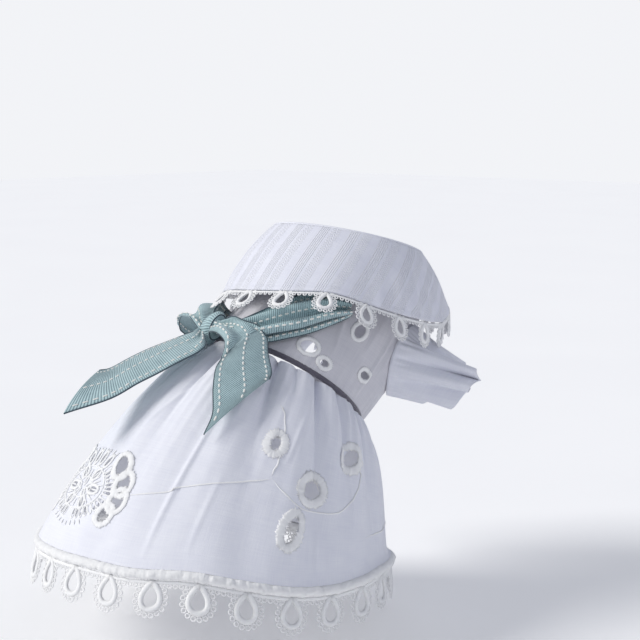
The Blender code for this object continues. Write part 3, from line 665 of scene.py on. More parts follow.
def skirt_point(angle, share, gathered=True):
    """Outer face of the skirt, from the waist seam to the hem: rings whose radius follows the
    flare, less the gathers, and whose lower edge dips by the square of the share."""
    angle, share = pair(angle, share)
    inside = np.clip(share, 0.0, 1.0)
    places, reached = np.array(SKIRT_FLARE).T
    radius = between(WAIST_RADIUS, HEM_RADIUS, hermite(inside, places, reached))
    left = np.maximum(0.0, -np.sin(np.radians(angle)))
    radius = radius - SKIRT_LEFT_TUCK * left * np.sin(np.pi * inside)
    if gathered:
        radius = radius - gather_depth(angle, share)
    tilt = between(WAIST_TILT, HEM_TILT, share)
    centre = spine(WAIST_MIDDLE, WAIST_TILT, HEM_MIDDLE, HEM_TILT, share, SKIRT_HANG)
    drop = HEM_DIP * around(angle, HEM_SHAPE, HEM_SHAPE_NAMES, "dip") * inside ** 2
    return centre + radius[..., None] * spoke(tilt, angle) - axes(tilt)[0] * drop[..., None]


def collar_point(angle, share):
    """Outer face of the collar, from the neck seam to its edge: a cone along the spine, lifted and
    dipped round the body towards the edge."""
    angle, share = pair(angle, share)
    drop = COLLAR_DIP * around(angle, COLLAR_SHAPE, COLLAR_SHAPE_NAMES, "dip")
    lift = COLLAR_LIFT * around(angle, COLLAR_SHAPE, COLLAR_SHAPE_NAMES, "lift")
    start = NECK_RADIUS + 2 * SEAM_GAP + COLLAR_THICKNESS
    radius = between(start, COLLAR_EDGE_RADIUS, share) + lift * share ** COLLAR_LIFT_CURVE
    tilt = between(NECK_TILT, COLLAR_EDGE_TILT, share)
    centre = spine(NECK_MIDDLE, NECK_TILT, COLLAR_MIDDLE, COLLAR_EDGE_TILT, share)
    point = centre + radius[..., None] * spoke(tilt, angle)
    return point - axes(tilt)[0] * (drop * share ** 2)[..., None]


def hang(edge, down, radial, distance, flare):
    """Point below an edge: the way there is the cosine of the flare down and its sine outwards."""
    a = np.radians(flare)[..., None]
    return edge + unit(down * np.cos(a) + radial * np.sin(a)) * distance[..., None]


def collar_fall(angle, distance):
    """Face of the collar's lace: it runs on from the collar's edge, turned by the flare."""
    angle, distance = pair(angle, distance)
    radial = spoke(COLLAR_EDGE_TILT, angle)
    edge = collar_point(angle, 1.0)
    down = unit(edge - collar_point(angle, COLLAR_FALL_FROM))
    flare = around(angle, COLLAR_SHAPE, COLLAR_SHAPE_NAMES, "flare")
    return hang(edge - radial * COLLAR_THICKNESS / 2, down, radial, distance, flare)


def hem_fall(angle, distance):
    """Face of the hem's cord and lace: it runs on from the hem along the ring's axis, flared."""
    angle, distance = pair(angle, distance)
    radial = spoke(HEM_TILT, angle)
    edge = skirt_point(angle, 1.0)
    down = np.broadcast_to(-axes(HEM_TILT)[0], edge.shape)
    return hang(edge - radial * CLOTH_THICKNESS / 2, down, radial, distance, np.array(HEM_FLARE))


def body_point(angle, height, rise):
    """Point over the bodice or the skirt: height over the waist seam, and a rise off the cloth along
    the cross product of the steps round and up."""
    angle, height = pair(angle, height)

    def face(a, h):
        upper = bodice_point(a, np.clip(1 - h / BODICE_LENGTH, 0.0, 1.0))
        lower = skirt_point(a, np.clip(-h / SKIRT_LENGTH, 0.0, 1.0), False)
        return np.where((h >= 0)[..., None], upper, lower)

    across = face(angle + FACE_TURN, height) - face(angle - FACE_TURN, height)
    reach = FACE_REACH * RIBBON_WIDTH
    upwards = face(angle, height + reach) - face(angle, height - reach)
    return face(angle, height) + unit(np.cross(across, upwards)) * np.asarray(rise)[..., None]


def armhole_frame(side):
    """Middle of an armhole with its directions backwards, up and out; side is 1 on the right."""
    centre = bodice_point(np.array(ARMHOLE_ANGLE * side), np.array(ARMHOLE_DOWN))
    out = unit(np.array(ARMHOLE_AXIS) * np.array([1.0, float(side), 1.0]))
    up = np.array([0.0, 0.0, 1.0])
    up = unit(up - out * np.dot(up, out))
    backwards = np.cross(up, out) * -side
    return centre, backwards, up, out


def sleeve_points(side, columns, rows):
    """Flutter sleeve from its seam to its free edge: each column runs straight out of the armhole,
    and waves in and out by flutes that grow with the share of its length."""
    centre, backwards, up, out = armhole_frame(side)
    a, s = np.meshgrid(np.linspace(*ARMHOLE_ANGLES) * side, np.linspace(*ARMHOLE_SHARES))
    near = bodice_point(a, s).reshape(-1, 3) - centre
    across, height_up, height = near @ backwards, near @ up, near @ out
    angle = ring_angles(columns)
    length, droop, spread = (around(angle, SLEEVE_SHAPE, SLEEVE_SHAPE_NAMES, name)
                             for name in SLEEVE_SHAPE_NAMES[1:])
    length = SLEEVE_LENGTH * length
    turn = np.radians(angle)
    ray = np.cos(turn)[:, None] * backwards + np.sin(turn)[:, None] * up
    seam = ARMHOLE_RADIUS + SLEEVE_THICKNESS / 2
    start = np.zeros(columns)
    for k in range(columns):
        gap = np.hypot(across - seam * np.cos(turn[k]), height_up - seam * np.sin(turn[k]))
        start[k] = np.where(gap < ARMHOLE_SEARCH, height, -1.0).max()
    way = unit(out - SLEEVE_FORWARD * backwards + droop[:, None] * np.array([0.0, 0.0, -1.0])
               + spread[:, None] * ray)
    phase = SLEEVE_FLUTES * turn
    for size, waves, first in SLEEVE_FLUTE_DRIFT:
        phase = phase + size * np.sin(waves * turn + first)
    flute = np.cos(phase)
    flute = flute - SLEEVE_FLUTE_FLATNESS * np.abs(flute) ** 3
    share = (np.arange(rows) / (rows - 1))[:, None]
    deep = SLEEVE_FLUTE_DEPTH * share
    deep = deep * np.minimum(1.0, length / SLEEVE_LENGTH + SLEEVE_FLUTE_AT_SHORT)
    fine = np.exp(-share / SLEEVE_GATHER_FADE) * smooth(share * SLEEVE_GATHER_ONSET)
    wave = deep * flute + SLEEVE_GATHER * fine * ripple(angle, 0.0, *SLEEVE_WAVES)
    return (centre + ray * (seam + wave)[..., None] + way * (length * share)[..., None]
            + out * (start + SEAM_GAP + SLEEVE_THICKNESS / 2)[:, None])


def ripple(angle, share, seed, rounds, reach):
    """Soft wrinkles: a sum of waves round and along the cloth with seeded counts and phases."""
    draw = np.random.default_rng(seed)
    total = 0.0
    for k in range(RIPPLE_COUNT):
        turns = draw.integers(rounds[0], rounds[1])
        along = draw.uniform(-reach, reach)
        phase = draw.uniform(0, PHASE_RANGE)
        total = total + np.sin(np.radians(angle) * turns + share * along + phase)
    return total / np.sqrt(RIPPLE_COUNT)


def line_folds(angle, share, rows):
    """Raised folds: a bell across each, along a straight line, with ends that rise like a sine."""
    total = np.zeros(np.shape(angle))
    for first, last, start, end, height, half_width in rows:
        along = np.clip((share - start) / (end - start), 0, 1)
        off = wrapped(angle - first - (last - first) * along)
        bell = np.exp(-(off / half_width) ** 2)
        total = total + height * bell * np.sin(np.pi * along) ** FOLD_ENDS
    return total


def pleat_lines(angle, share):
    """Sharp middle of each gather: a narrow bell that fades out before the gather does."""
    deep = np.zeros(np.shape(angle))
    for place, drift, depth, reach in GATHERS:
        off = wrapped(angle - place - drift * share)
        near = smooth(share / SKIRT_PLEAT_START) * (1 - smooth(share / (SKIRT_PLEAT_FADE * reach)))
        deep = deep + depth * near * np.exp(-(off / SKIRT_PLEAT_HALF_WIDTH) ** 2)
    return deep


def skirt_cloth(angle, share):
    """Skirt face with fine puckers at the seam, soft wrinkles lower down, pleats and creases."""
    angle, share = pair(angle, share)
    fine = ripple(angle, share, *SKIRT_PUCKER_WAVES) * np.exp(-share / SKIRT_PUCKER_FADE)
    fine = fine * smooth(share * SKIRT_PUCKER_ONSET)
    soft = ripple(angle, share, *SKIRT_WRINKLE_WAVES) * smooth(share * SKIRT_WRINKLE_ONSET)
    wave = SKIRT_PUCKER * fine + SKIRT_WRINKLE * soft - SKIRT_PLEAT * pleat_lines(angle, share)
    creases = [(*row, SKIRT_CREASE_HALF_WIDTH) for row in SKIRT_CREASES]
    wave = wave + line_folds(angle, share, creases)
    wave = wave * (1 - np.clip(share, 0, 1) ** SKIRT_CALM_AT_HEM)
    tilt = between(WAIST_TILT, HEM_TILT, share)
    return skirt_point(angle, share) + spoke(tilt, angle) * wave[..., None]


def bodice_cloth(angle, share):
    """Bodice face with soft wrinkles, puckers above the waist seam and pulled folds."""
    angle, share = pair(angle, share)
    inside = np.clip(share, 0, 1)
    soft = ripple(angle, share, *BODICE_WRINKLE_WAVES) * np.sin(np.pi * inside)
    fine = ripple(angle, share, *BODICE_PUCKER_WAVES)
    fine = fine * smooth((share - BODICE_PUCKER_FROM) / BODICE_PUCKER_RISE)
    wave = BODICE_WRINKLE * soft + BODICE_PUCKER * fine * (1 - inside ** BODICE_CALM_AT_WAIST)
    wave = wave + line_folds(angle, share, BODICE_FOLDS)
    tilt = between(NECK_TILT, WAIST_TILT, share)
    return bodice_point(angle, share) + spoke(tilt, angle) * wave[..., None]


def collar_cloth(angle, share):
    """Collar face with an outward roll, soft waves, folds at its edge and a stitched groove."""
    angle, share = pair(angle, share)
    inside = np.clip(share, 0, 1)
    soft = ripple(angle, share, *COLLAR_WAVES) * np.sin(np.pi * inside)
    from_edge = (1 - share) * COLLAR_LENGTH
    groove = np.exp(-((from_edge - COLLAR_HEM) / STITCH_GROOVE_WIDTH) ** 2)
    wave = COLLAR_ROLL * np.sin(np.pi * inside ** COLLAR_ROLL_SKEW)
    wave = wave + COLLAR_WRINKLE * soft - STITCH_GROOVE_DEPTH * groove
    for place, half_width, height in COLLAR_FOLDS:
        bell = np.exp(-(wrapped(angle - place) / half_width) ** 2)
        wave = wave + height * bell * smooth((share - COLLAR_FOLD_FROM) / COLLAR_FOLD_RISE)
    tilt = between(NECK_TILT, COLLAR_EDGE_TILT, share)
    return collar_point(angle, share) + spoke(tilt, angle) * wave[..., None]


def steps(surface, angle, share):
    """Metres that a radian round and a unit of share cover on a surface, as directions."""
    ahead = surface(angle + STEP_TURN, share)
    round_step = (ahead - surface(angle - STEP_TURN, share)) / (2 * np.radians(STEP_TURN))
    lower = surface(angle, share + STEP_SHARE)
    down_step = (lower - surface(angle, share - STEP_SHARE)) / (2 * STEP_SHARE)
    return round_step, down_step


def outward(surface, angle, share):
    """Direction out of a surface: the step down crossed with the step round."""
    round_step, down_step = steps(surface, angle, share)
    return unit(np.cross(down_step, round_step))


def laid(surface, angle, share):
    """Points on a surface with the directions out of it."""
    return surface(angle, share), outward(surface, angle, share)


class Spot:
    """A middle on a surface; spots near it are given by metres across and metres down."""

    def __init__(self, surface, angle, share):
        self.surface = surface
        self.angle = angle
        self.share = share
        round_step, down_step = steps(surface, np.array(float(angle)), np.array(float(share)))
        self.round = np.linalg.norm(round_step)
        self.down = np.linalg.norm(down_step)

    def place(self, x, y):
        """Angle and share of a point that lies x metres across and y metres down."""
        return self.angle + np.degrees(x / self.round), self.share + y / self.down

    def at(self, x, y):
        """Point on the surface with its direction out."""
        return laid(self.surface, *self.place(x, y))


class Pile:
    """Gathers grids of points into one mesh; rows run down and columns run round."""

    def __init__(self):
        self.points = []
        self.faces = []
        self.uvs = []
        self.count = 0

    def grids(self, points, close_rows=False, close_columns=False, keep=None, uv=None):
        """Adds many grids of one size: each cell is a quad, down the rows and on round the columns."""
        many, rows, columns = points.shape[:3]
        index = np.arange(rows * columns).reshape(rows, columns)
        r = np.arange(rows if close_rows else rows - 1)[:, None]
        c = np.arange(columns if close_columns else columns - 1)[None, :]
        below = (r + 1) % rows
        after = (c + 1) % columns
        quads = np.stack([index[r, c], index[below, c], index[below, after], index[r, after]], -1)
        if keep is not None:
            quads = quads[keep]
        quads = quads.reshape(-1, 4)
        if uv is None:
            corners = np.zeros((len(quads), 4, 2))
        else:
            corners = np.stack([uv[r, c], uv[r + 1, c], uv[r + 1, c + 1], uv[r, c + 1]], 2)
            corners = corners[keep] if keep is not None else corners
            corners = corners.reshape(-1, 4, 2)
        starts = self.count + np.arange(many) * rows * columns
        self.faces.append((quads[None] + starts[:, None, None]).reshape(-1, 4))
        self.uvs.append(np.tile(corners, (many, 1, 1)))
        self.points.append(points.reshape(-1, 3))
        self.count += many * rows * columns

    def grid(self, points, *args, **named):
        """Adds one grid."""
        self.grids(points[None], *args, **named)

    def build(self, name, finish, nodes=(), weld=True, thickness=0.0, offset=-1.0):
        """Makes the mesh and its piece, with a wall where a thickness is given."""
        points = np.concatenate(self.points)
        faces = np.concatenate(self.faces)
        mesh = bpy.data.meshes.new(name)
        mesh.from_pydata(points, [], faces)
        layer = mesh.uv_layers.new(name="cloth")
        layer.data.foreach_set("uv", np.concatenate(self.uvs).reshape(-1).astype(np.float32))
        shape = bmesh.new()
        shape.from_mesh(mesh)
        loose = [v for v in shape.verts if not v.link_faces]
        bmesh.ops.delete(shape, geom=loose, context="VERTS")
        if weld:
            bmesh.ops.remove_doubles(shape, verts=shape.verts, dist=WELD)
        shape.to_mesh(mesh)
        shape.free()
        mesh.shade_smooth()
        mesh.materials.append(finish)
        piece = bpy.data.objects.new(name, mesh)
        bpy.context.scene.collection.objects.link(piece)
        if thickness:
            wall = piece.modifiers.new("wall", "SOLIDIFY")
            wall.thickness = thickness
            wall.offset = offset
            wall.use_even_offset = False
        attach(piece, "root")
        if nodes:
            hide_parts(*nodes)
        return piece


def tube(path, out, width, height, sides, closed, lift=0.0):
    """Cord along a path: each section is an oval, a cosine of the width across the path and a sine
    of the height outwards."""
    if closed:
        along = np.roll(path, -1, axis=-2) - np.roll(path, 1, axis=-2)
    else:
        along = np.gradient(path, axis=-2)
    side = unit(np.cross(out, along))
    turn = -np.arange(sides) * 2 * np.pi / sides
    wide = (np.cos(turn) * np.asarray(width, float) / 2 + 0 * path[..., :1])[..., None]
    high = (np.sin(turn) * np.asarray(height, float) / 2 + 0 * path[..., :1])[..., None]
    middle = (path + out * lift)[..., None, :]
    return middle + side[..., None, :] * wide + out[..., None, :] * high


def threads(count, depth, seed):
    """Width of a wrapped cord along its length: every second section dips between two threads."""
    draw = np.random.default_rng(seed)
    dip = 1 - depth * (np.arange(count) % 2)
    return (dip * (1 + THREAD_UNEVEN * draw.standard_normal(count)))[:, None]


def satin_ring(pile, spot, width, length, turn, cord, high, seed):
    """Ring of satin stitches round an oval hole, with ragged edges where it is wide."""
    half_wide = width / 2 + SATIN_OFFSET * cord
    half_long = length / 2 + SATIN_OFFSET * cord
    count = 2 * int(np.pi * (half_wide + half_long) / THREAD)
    t = np.arange(count) * 2 * np.pi / count
    a = np.radians(turn)
    u = half_wide * np.cos(t)
    v = half_long * np.sin(t)
    path, out = spot.at(u * np.cos(a) - v * np.sin(a), -u * np.sin(a) - v * np.cos(a))
    size = threads(count, SATIN_DIP, seed)
    if cord > SATIN_CORD:
        draw = np.random.default_rng(RAGGED_SEED + seed)
        uneven = draw.standard_normal(count).clip(-RAGGED_LIMIT, RAGGED_LIMIT)
        size = size * (1 + RAGGED * uneven)[:, None]
    ring = tube(path, out, cord * size, high * size, SATIN_SIDES, True, CORD_LIFT * high)
    pile.grid(ring, True, True)


def stitch_vine(pile, points):
    """Raised line of small stitches on the skirt, a smooth curve through points of angle and share
    that sways a little and tapers at its ends."""
    count = VINE_SECTIONS
    table = np.array(points, float)
    at = np.linspace(0, len(points) - 1, count)
    places = np.arange(len(points), dtype=float)
    angle = hermite(at, places, table[:, 0]) + VINE_SWAY * np.sin(at * VINE_SWAY_TURNS)
    path, out = laid(skirt_cloth, angle, hermite(at, places, table[:, 1]))
    index = np.arange(count)
    taper = np.minimum(1.0, VINE_TAPER * np.minimum(index, index[::-1]) / count)[:, None]
    size = (1 - VINE_DIP * (index % 2))[:, None] * taper
    line = tube(path, out, VINE_WIDTH * size, VINE_HIGH * size, THREAD_SIDES, False,
                CORD_LIFT * VINE_HIGH)
    pile.grid(line, False, True)


def full_cells(inside):
    """Cells of a closed grid whose four corners are all marked."""
    both = inside[1:] & inside[:-1]
    return both & np.roll(both, -1, 1)


def open_holes(angle, share, surface, holes):
    """Opens oval holes in a grid: the cells inside go and the points across the edge move to it."""
    keep = np.ones((angle.shape[0] - 1, angle.shape[1]), bool)
    for place, down, width, length, turn in holes:
        spot = Spot(surface, place, down)
        x = np.radians(wrapped(angle - place)) * spot.round
        y = (share - down) * spot.down
        a = np.radians(turn)
        u = (x * np.cos(a) - y * np.sin(a)) / (width / 2)
        v = (-y * np.cos(a) - x * np.sin(a)) / (length / 2)
        far = np.hypot(u, v)
        inside = far < 1.0
        keep &= ~full_cells(inside)
        push = np.where(inside, 1 / np.maximum(far, HOLE_CORE) - 1, 0.0)
        angle = angle + np.degrees(x * push / spot.round)
        share = share + y * push / spot.down
    return angle, share, keep


def cloth_uv(rows, columns, wide, long):
    """Place on the cloth in metres: round it by the wide size and down it by the long one."""
    u, v = np.meshgrid(np.linspace(0, wide, columns + 1), np.linspace(0, long, rows))
    return np.stack([u, v], -1)


def on_flower(spot, clock, reach):
    """Angle and share of a point of the flower, by its clock angle and a share of the oval."""
    a = np.radians(clock)
    return spot.place(FLOWER_HALF_WIDTH * reach * np.cos(a), -FLOWER_HALF_HEIGHT * reach * np.sin(a))


def flower_middle():
    """Middle of the flower on the skirt without its gathers."""
    return Spot(lambda a, s: skirt_point(a, s, False), FLOWER_ANGLE, FLOWER_DOWN)


def eyelets(rows):
    """Rows of a table of eyelets with their diameters in metres."""
    return [(angle, share, width * EYELET_SIZE, length * EYELET_SIZE, turn)
            for angle, share, width, length, turn in rows]


def skirt_holes():
    """Oval holes of the skirt: the loose eyelets and those of the cutwork flower."""
    spot = flower_middle()
    rows = list(SKIRT_EYELETS)
    for clock, reach, width, length in FLOWER_HOLES:
        turn = clock - 90
        if reach > 1.0:
            turn = FLOWER_EYELET_TURN * (clock if abs(clock) < 90 else clock - 180)
        rows.append((*on_flower(spot, clock, reach), width, length, turn))
    return eyelets(rows)


def bodice_holes():
    """Eyelets of the bodice, whose tables count up from the waist seam."""
    return eyelets([(angle, 1 - up, *rest) for angle, up, *rest in BODICE_EYELETS])


def flower_slots():
    """Narrow slots that fan between the flower's inner arch and its eyelets."""
    found = []
    spot = flower_middle()
    nearest, furthest = FLOWER_SLIT_REACH
    slits = [row[0] for row in FLOWER_HOLES if nearest < row[1] < furthest]
    for k in range(SLOT_COUNT):
        clock = SLOT_FIRST + (SLOT_LAST - SLOT_FIRST) * k / (SLOT_COUNT - 1)
        if all(abs(clock - slit) >= SLOT_CLEARANCE for slit in slits):
            place = on_flower(spot, clock, SLOT_REACH)
            found.append((*place, SLOT_WIDTH, SLOT_LENGTH, clock - 90))
    return found


def make_skirt():
    """Skirt cloth from just under the piping to the hem, with its holes cut through."""
    first = (PIPING_DIAMETER / 2 + PIPING_GAP) / (3 * SKIRT_HANG * SKIRT_LENGTH)
    angle, share = np.meshgrid(ring_angles(SKIRT_COLUMNS), np.linspace(first, 1.0, SKIRT_ROWS))
    holes = skirt_holes() + flower_slots()
    angle, share, keep = open_holes(angle, share, skirt_cloth, holes)
    pile = Pile()
    uv = cloth_uv(SKIRT_ROWS, SKIRT_COLUMNS, 2 * np.pi * HEM_RADIUS, SKIRT_LENGTH)
    pile.grid(skirt_cloth(angle, share), False, True, keep, uv)
    piece = pile.build("skirt_cloth", cotton, ["skirt"], weld=False)


def make_bodice():
    """Bodice cloth with its eyelets, and with an armhole on each side: points inside the armhole's
    cylinder move out to its rim, and the cells inside go."""
    end = 1 - (PIPING_DIAMETER / 2 + PIPING_GAP) / BODICE_LENGTH
    angle, share = np.meshgrid(ring_angles(BODICE_FINE_COLUMNS),
                               np.linspace(0.0, end, BODICE_FINE_ROWS))
    angle, share, keep = open_holes(angle, share, bodice_cloth, bodice_holes())
    points = bodice_cloth(angle, share)
    for side in (1, -1):
        centre, backwards, up, out = armhole_frame(side)
        near = points - centre
        x = near @ backwards
        y = near @ up
        far = np.hypot(x, y)
        inside = (far < ARMHOLE_RADIUS) & (near @ out > -ARMHOLE_RADIUS)
        keep &= ~full_cells(inside)
        push = np.where(inside, ARMHOLE_RADIUS / np.maximum(far, ARMHOLE_CORE) - 1, 0.0)
        points = points + (x * push)[..., None] * backwards + (y * push)[..., None] * up
    pile = Pile()
    uv = cloth_uv(BODICE_FINE_ROWS, BODICE_FINE_COLUMNS, 2 * np.pi * WAIST_RADIUS, BODICE_LENGTH)
    pile.grid(points, False, True, keep, uv)
    # The bodice takes the darker cotton: painted shade of the collar's shadow and the grey of fur seen
    # through the thin cloth
    piece = pile.build("bodice_cloth", collar_shaded_cotton, ["bodice"], weld=False)


def make_collar():
    """Collar cloth, with its pattern laid out flat as part of a ring."""
    shares = np.linspace(0.0, 1.0, COLLAR_FINE_ROWS)
    angle, share = np.meshgrid(ring_angles(COLLAR_FINE_COLUMNS), shares)
    wide, long = np.meshgrid(np.linspace(-180.0, 180.0, COLLAR_FINE_COLUMNS + 1), shares)
    slant = CONE_START + COLLAR_LENGTH * long
    fold = np.radians(wide) * CONE_SHARE
    uv = np.stack([slant * np.sin(fold), slant * np.cos(fold)], -1)
    pile = Pile()
    pile.grid(collar_cloth(angle - 180.0, share), False, True, None, uv)
    piece = pile.build("collar_cloth", dobby_cotton, ["collar"], weld=False,
                       thickness=COLLAR_THICKNESS)


def flower_bars(pile, spot, start, end, count, wide):
    """Ring of tapered bars that point out of the flower's middle and sway a little."""
    clock = np.radians(ring_angles(count))[:, None]
    if start >= 1:
        clock = clock[np.abs(np.sin(clock[:, 0])) > OUTER_BAR_STEEPNESS]
    reach = np.linspace(start, end, BAR_SECTIONS)[None, :] + BAR_SWAY * np.sin(clock * BAR_SWAY_TURNS)
    path, out = spot.at(FLOWER_HALF_WIDTH * reach * np.cos(clock),
                        -FLOWER_HALF_HEIGHT * reach * np.sin(clock))
    taper = np.sin(np.linspace(BAR_END, np.pi - BAR_END, BAR_SECTIONS))[:, None] ** BAR_TAPER
    taper = taper * (1 - BAR_DIP * (np.arange(BAR_SECTIONS) % 2))[:, None]
    bars = tube(path, out, wide * taper, FLOWER_BAR_HIGH * taper, THREAD_SIDES, False,
                BAR_LIFT * FLOWER_BAR_HIGH)
    pile.grids(bars, False, True)


def make_embroidery():
    """Satin rings of the eyelets, the flower's arches, bars and petals, and the stitched vines."""
    pile = Pile()
    for k, (angle, share, width, length, turn) in enumerate(skirt_holes()):
        if k < len(SKIRT_EYELETS):
            cord, high = WIDE_SATIN_CORD, WIDE_SATIN_HIGH
        elif min(width, length) > SMALL_HOLE:
            cord, high = SATIN_SHARE_FLOWER * SATIN_CORD, SATIN_HIGH
        else:
            cord, high = SATIN_SHARE_SMALL * SATIN_CORD, SATIN_HIGH
        satin_ring(pile, Spot(skirt_cloth, angle, share), width, length, turn, cord, high, k)
    for k, (angle, share, width, length, turn) in enumerate(flower_slots()):
        satin_ring(pile, Spot(skirt_cloth, angle, share), width, length, turn,
                   SATIN_SHARE_SLOT * SATIN_CORD, SLOT_HIGH_SHARE * SATIN_HIGH, SLOT_SEED + k)
    spot = Spot(skirt_cloth, FLOWER_ANGLE, FLOWER_DOWN)
    for k, reach in enumerate(FLOWER_ARCHES):
        satin_ring(pile, spot, 2 * reach * FLOWER_HALF_WIDTH, 2 * reach * FLOWER_HALF_HEIGHT, 0,
                   ARCH_CORD, ARCH_HIGH, ARCH_SEED + k)
    for ring in FLOWER_BAR_RINGS:
        flower_bars(pile, spot, *ring)
    for k in range(PETAL_COUNT):
        clock = PETAL_FIRST + k * 360 / PETAL_COUNT
        petal = Spot(skirt_cloth, *on_flower(spot, clock, PETAL_REACH))
        satin_ring(pile, petal, PETAL_WIDTH, PETAL_LENGTH, clock - 90,
                   SATIN_SHARE_PETAL * SATIN_CORD, SATIN_HIGH, PETAL_SEED + k)
    for mirror, shift in CLUSTERS:
        for vine in VINES:
            stitch_vine(pile, [(mirror * angle + shift, share) for angle, share in vine])
    for k, (angle, share, width, length, turn) in enumerate(bodice_holes()):
        satin_ring(pile, Spot(bodice_cloth, angle, share), width, length, turn,
                   SATIN_SHARE_BODICE * SATIN_CORD, SATIN_HIGH, BODICE_RING_SEED + k)
    pile.build("embroidery", lace_thread)


def teardrop(t, width, top, bottom):
    """Centre line of a lace loop: across by the sine of t times a power of the sine of half t, so
    that it is narrow at its top where t is 0, and down by half of one less the cosine."""
    x = width * TEARDROP_WIDTH * np.sin(t) * np.abs(np.sin(t / 2)) ** TEARDROP_POINT
    y = top + (bottom - top) * (1 - np.cos(t)) / 2
    return x, y


def picot_rings(pile, surface, angle, share):
    """Small thread rings through points of angle and share, one ring along the last axis."""
    rings = tube(*laid(surface, angle, share), PICOT_CORD, PICOT_CORD, PICOT_SIDES, True)
    pile.grids(rings.reshape(-1, PICOT_POINTS, PICOT_SIDES, 3), True, True)


def make_lace(name, node, surface, loops, start, header, length, width, cord, picot, picots):
    """Trim of wrapped teardrop loops with small picot rings, under a narrow header."""
    pile = Pile()
    pitch = 360.0 / loops
    middle = (np.arange(loops) * pitch)[:, None]
    spot = Spot(surface, 0.0, start)
    top = LOOP_TOP * header
    bottom = length - LOOP_BOTTOM[0] * picot - LOOP_BOTTOM[1] * cord
    count = 2 * int(LOOP_RUN * (bottom - top) / THREAD)
    t = np.arange(count) * 2 * np.pi / count
    x, y = teardrop(t, width, top, bottom)
    path, out = laid(surface, middle + np.degrees(x / spot.round), start + y + 0 * middle)
    size = threads(count, LOOP_DIP, LOOP_SEED)
    wraps = tube(path, out, cord * size, LOOP_FLATNESS * cord * size, THREAD_SIDES, True)
    pile.grids(wraps, True, True)

    t = np.linspace(0, 2 * np.pi, picots + 4)[2:-2]
    x, y = teardrop(t, width, top, bottom)
    ahead_x, ahead_y = teardrop(t + 0.01, width, top, bottom)
    side = np.stack([ahead_y - y, x - ahead_x])
    side = side / np.linalg.norm(side, axis=0)
    away = PICOT_AWAY[0] * cord + PICOT_AWAY[1] * picot
    turn = np.arange(PICOT_POINTS) * 2 * np.pi / PICOT_POINTS
    ring_x = (x + side[0] * away)[:, None] + picot * PICOT_RADIUS * np.cos(turn)
    ring_y = (y + side[1] * away)[:, None] + picot * PICOT_RADIUS * np.sin(turn)
    middle = middle[..., None]
    picot_rings(pile, surface, middle + np.degrees(ring_x / spot.round), start + ring_y + 0 * middle)

    place = np.linspace(*EDGE_PICOTS)[None, :, None] * pitch
    ring_x = EDGE_PICOT_RADIUS * picot * np.cos(turn)
    ring_y = EDGE_PICOT_DROP * picot + EDGE_PICOT_RADIUS * picot * np.sin(turn)
    angle = middle + place + np.degrees(ring_x / spot.round)
    picot_rings(pile, surface, angle, start + header + ring_y + 0 * angle)

    count = loops * HEADER_SECTIONS
    path, out = laid(surface, ring_angles(count), np.full(count, start + 0.5 * header))
    size = threads(count, HEADER_DIP, HEADER_SEED)
    pile.grid(tube(path, out, header * size, HEADER_HIGH * size, THREAD_SIDES, True), True, True)
    pile.build(name, lace_thread, [node])


def make_hem_cord():
    """Fluffy rolled cord: a round section whose radius swells with two twisted strands, with fluff
    from point to point and with slow ripples along the cord."""
    angle = ring_angles(HEM_CORD_SECTIONS)
    share = np.full(HEM_CORD_SECTIONS, CORD_GAP + HEM_CORD_DIAMETER / 2)
    path, out = laid(hem_fall, angle, share)
    turn = -np.arange(HEM_CORD_SIDES) * 2 * np.pi / HEM_CORD_SIDES
    draw = np.random.default_rng(HEM_CORD_FLUFF_SEED)
    twist = np.radians(angle)[:, None] * HEM_CORD_TWISTS
    strand = HEM_CORD_STRAND_DEPTH * np.cos(HEM_CORD_STRANDS * turn[None, :] + twist)
    fluff = HEM_CORD_FLUFF * draw.standard_normal((HEM_CORD_SECTIONS, HEM_CORD_SIDES))
    swell = HEM_CORD_SWELL * ripple(angle, 0.0, *HEM_CORD_WAVES)[:, None]
    size = HEM_CORD_FULLNESS * HEM_CORD_DIAMETER * (1 + strand + fluff + swell)
    pile = Pile()
    pile.grid(tube(path, out, size, size, HEM_CORD_SIDES, True), True, True)
    pile.build("hem_roll", fluffy_cotton, ["hem_cord"])


def make_piping():
    """Round cord in the waist seam, with slow ripples along it."""
    angle = ring_angles(PIPING_SECTIONS)
    out = spoke(WAIST_TILT, angle)
    path = WAIST_MIDDLE + (WAIST_RADIUS - CLOTH_THICKNESS / 2) * out
    swell = PIPING_SWELL * ripple(angle, 0.0, *PIPING_WAVES)[:, None]
    size = PIPING_FULLNESS * PIPING_DIAMETER * (1 + swell)
    pile = Pile()
    uv = cloth_uv(PIPING_SECTIONS + 1, PIPING_SIDES, np.pi * PIPING_DIAMETER,
                  2 * np.pi * WAIST_RADIUS)
    pile.grid(tube(path, out, size, size, PIPING_SIDES, True), True, True, None, uv)
    pile.build("waist_piping_cord", piping_cloth, ["waist_piping"])


def make_neck_binding():
    """Narrow round fold where the collar and the bodice meet round the neck."""
    out = spoke(NECK_TILT, ring_angles(NECK_FOLD_SECTIONS))
    path = NECK_MIDDLE + (NECK_RADIUS + 0.5 * COLLAR_THICKNESS) * out
    pile = Pile()
    uv = cloth_uv(NECK_FOLD_SECTIONS + 1, NECK_FOLD_SIDES, np.pi * NECK_FOLD, 2 * np.pi * NECK_RADIUS)
    pile.grid(tube(path, out, NECK_FOLD, NECK_FOLD, NECK_FOLD_SIDES, True), True, True, None, uv)
    pile.build("neck_fold", cotton)


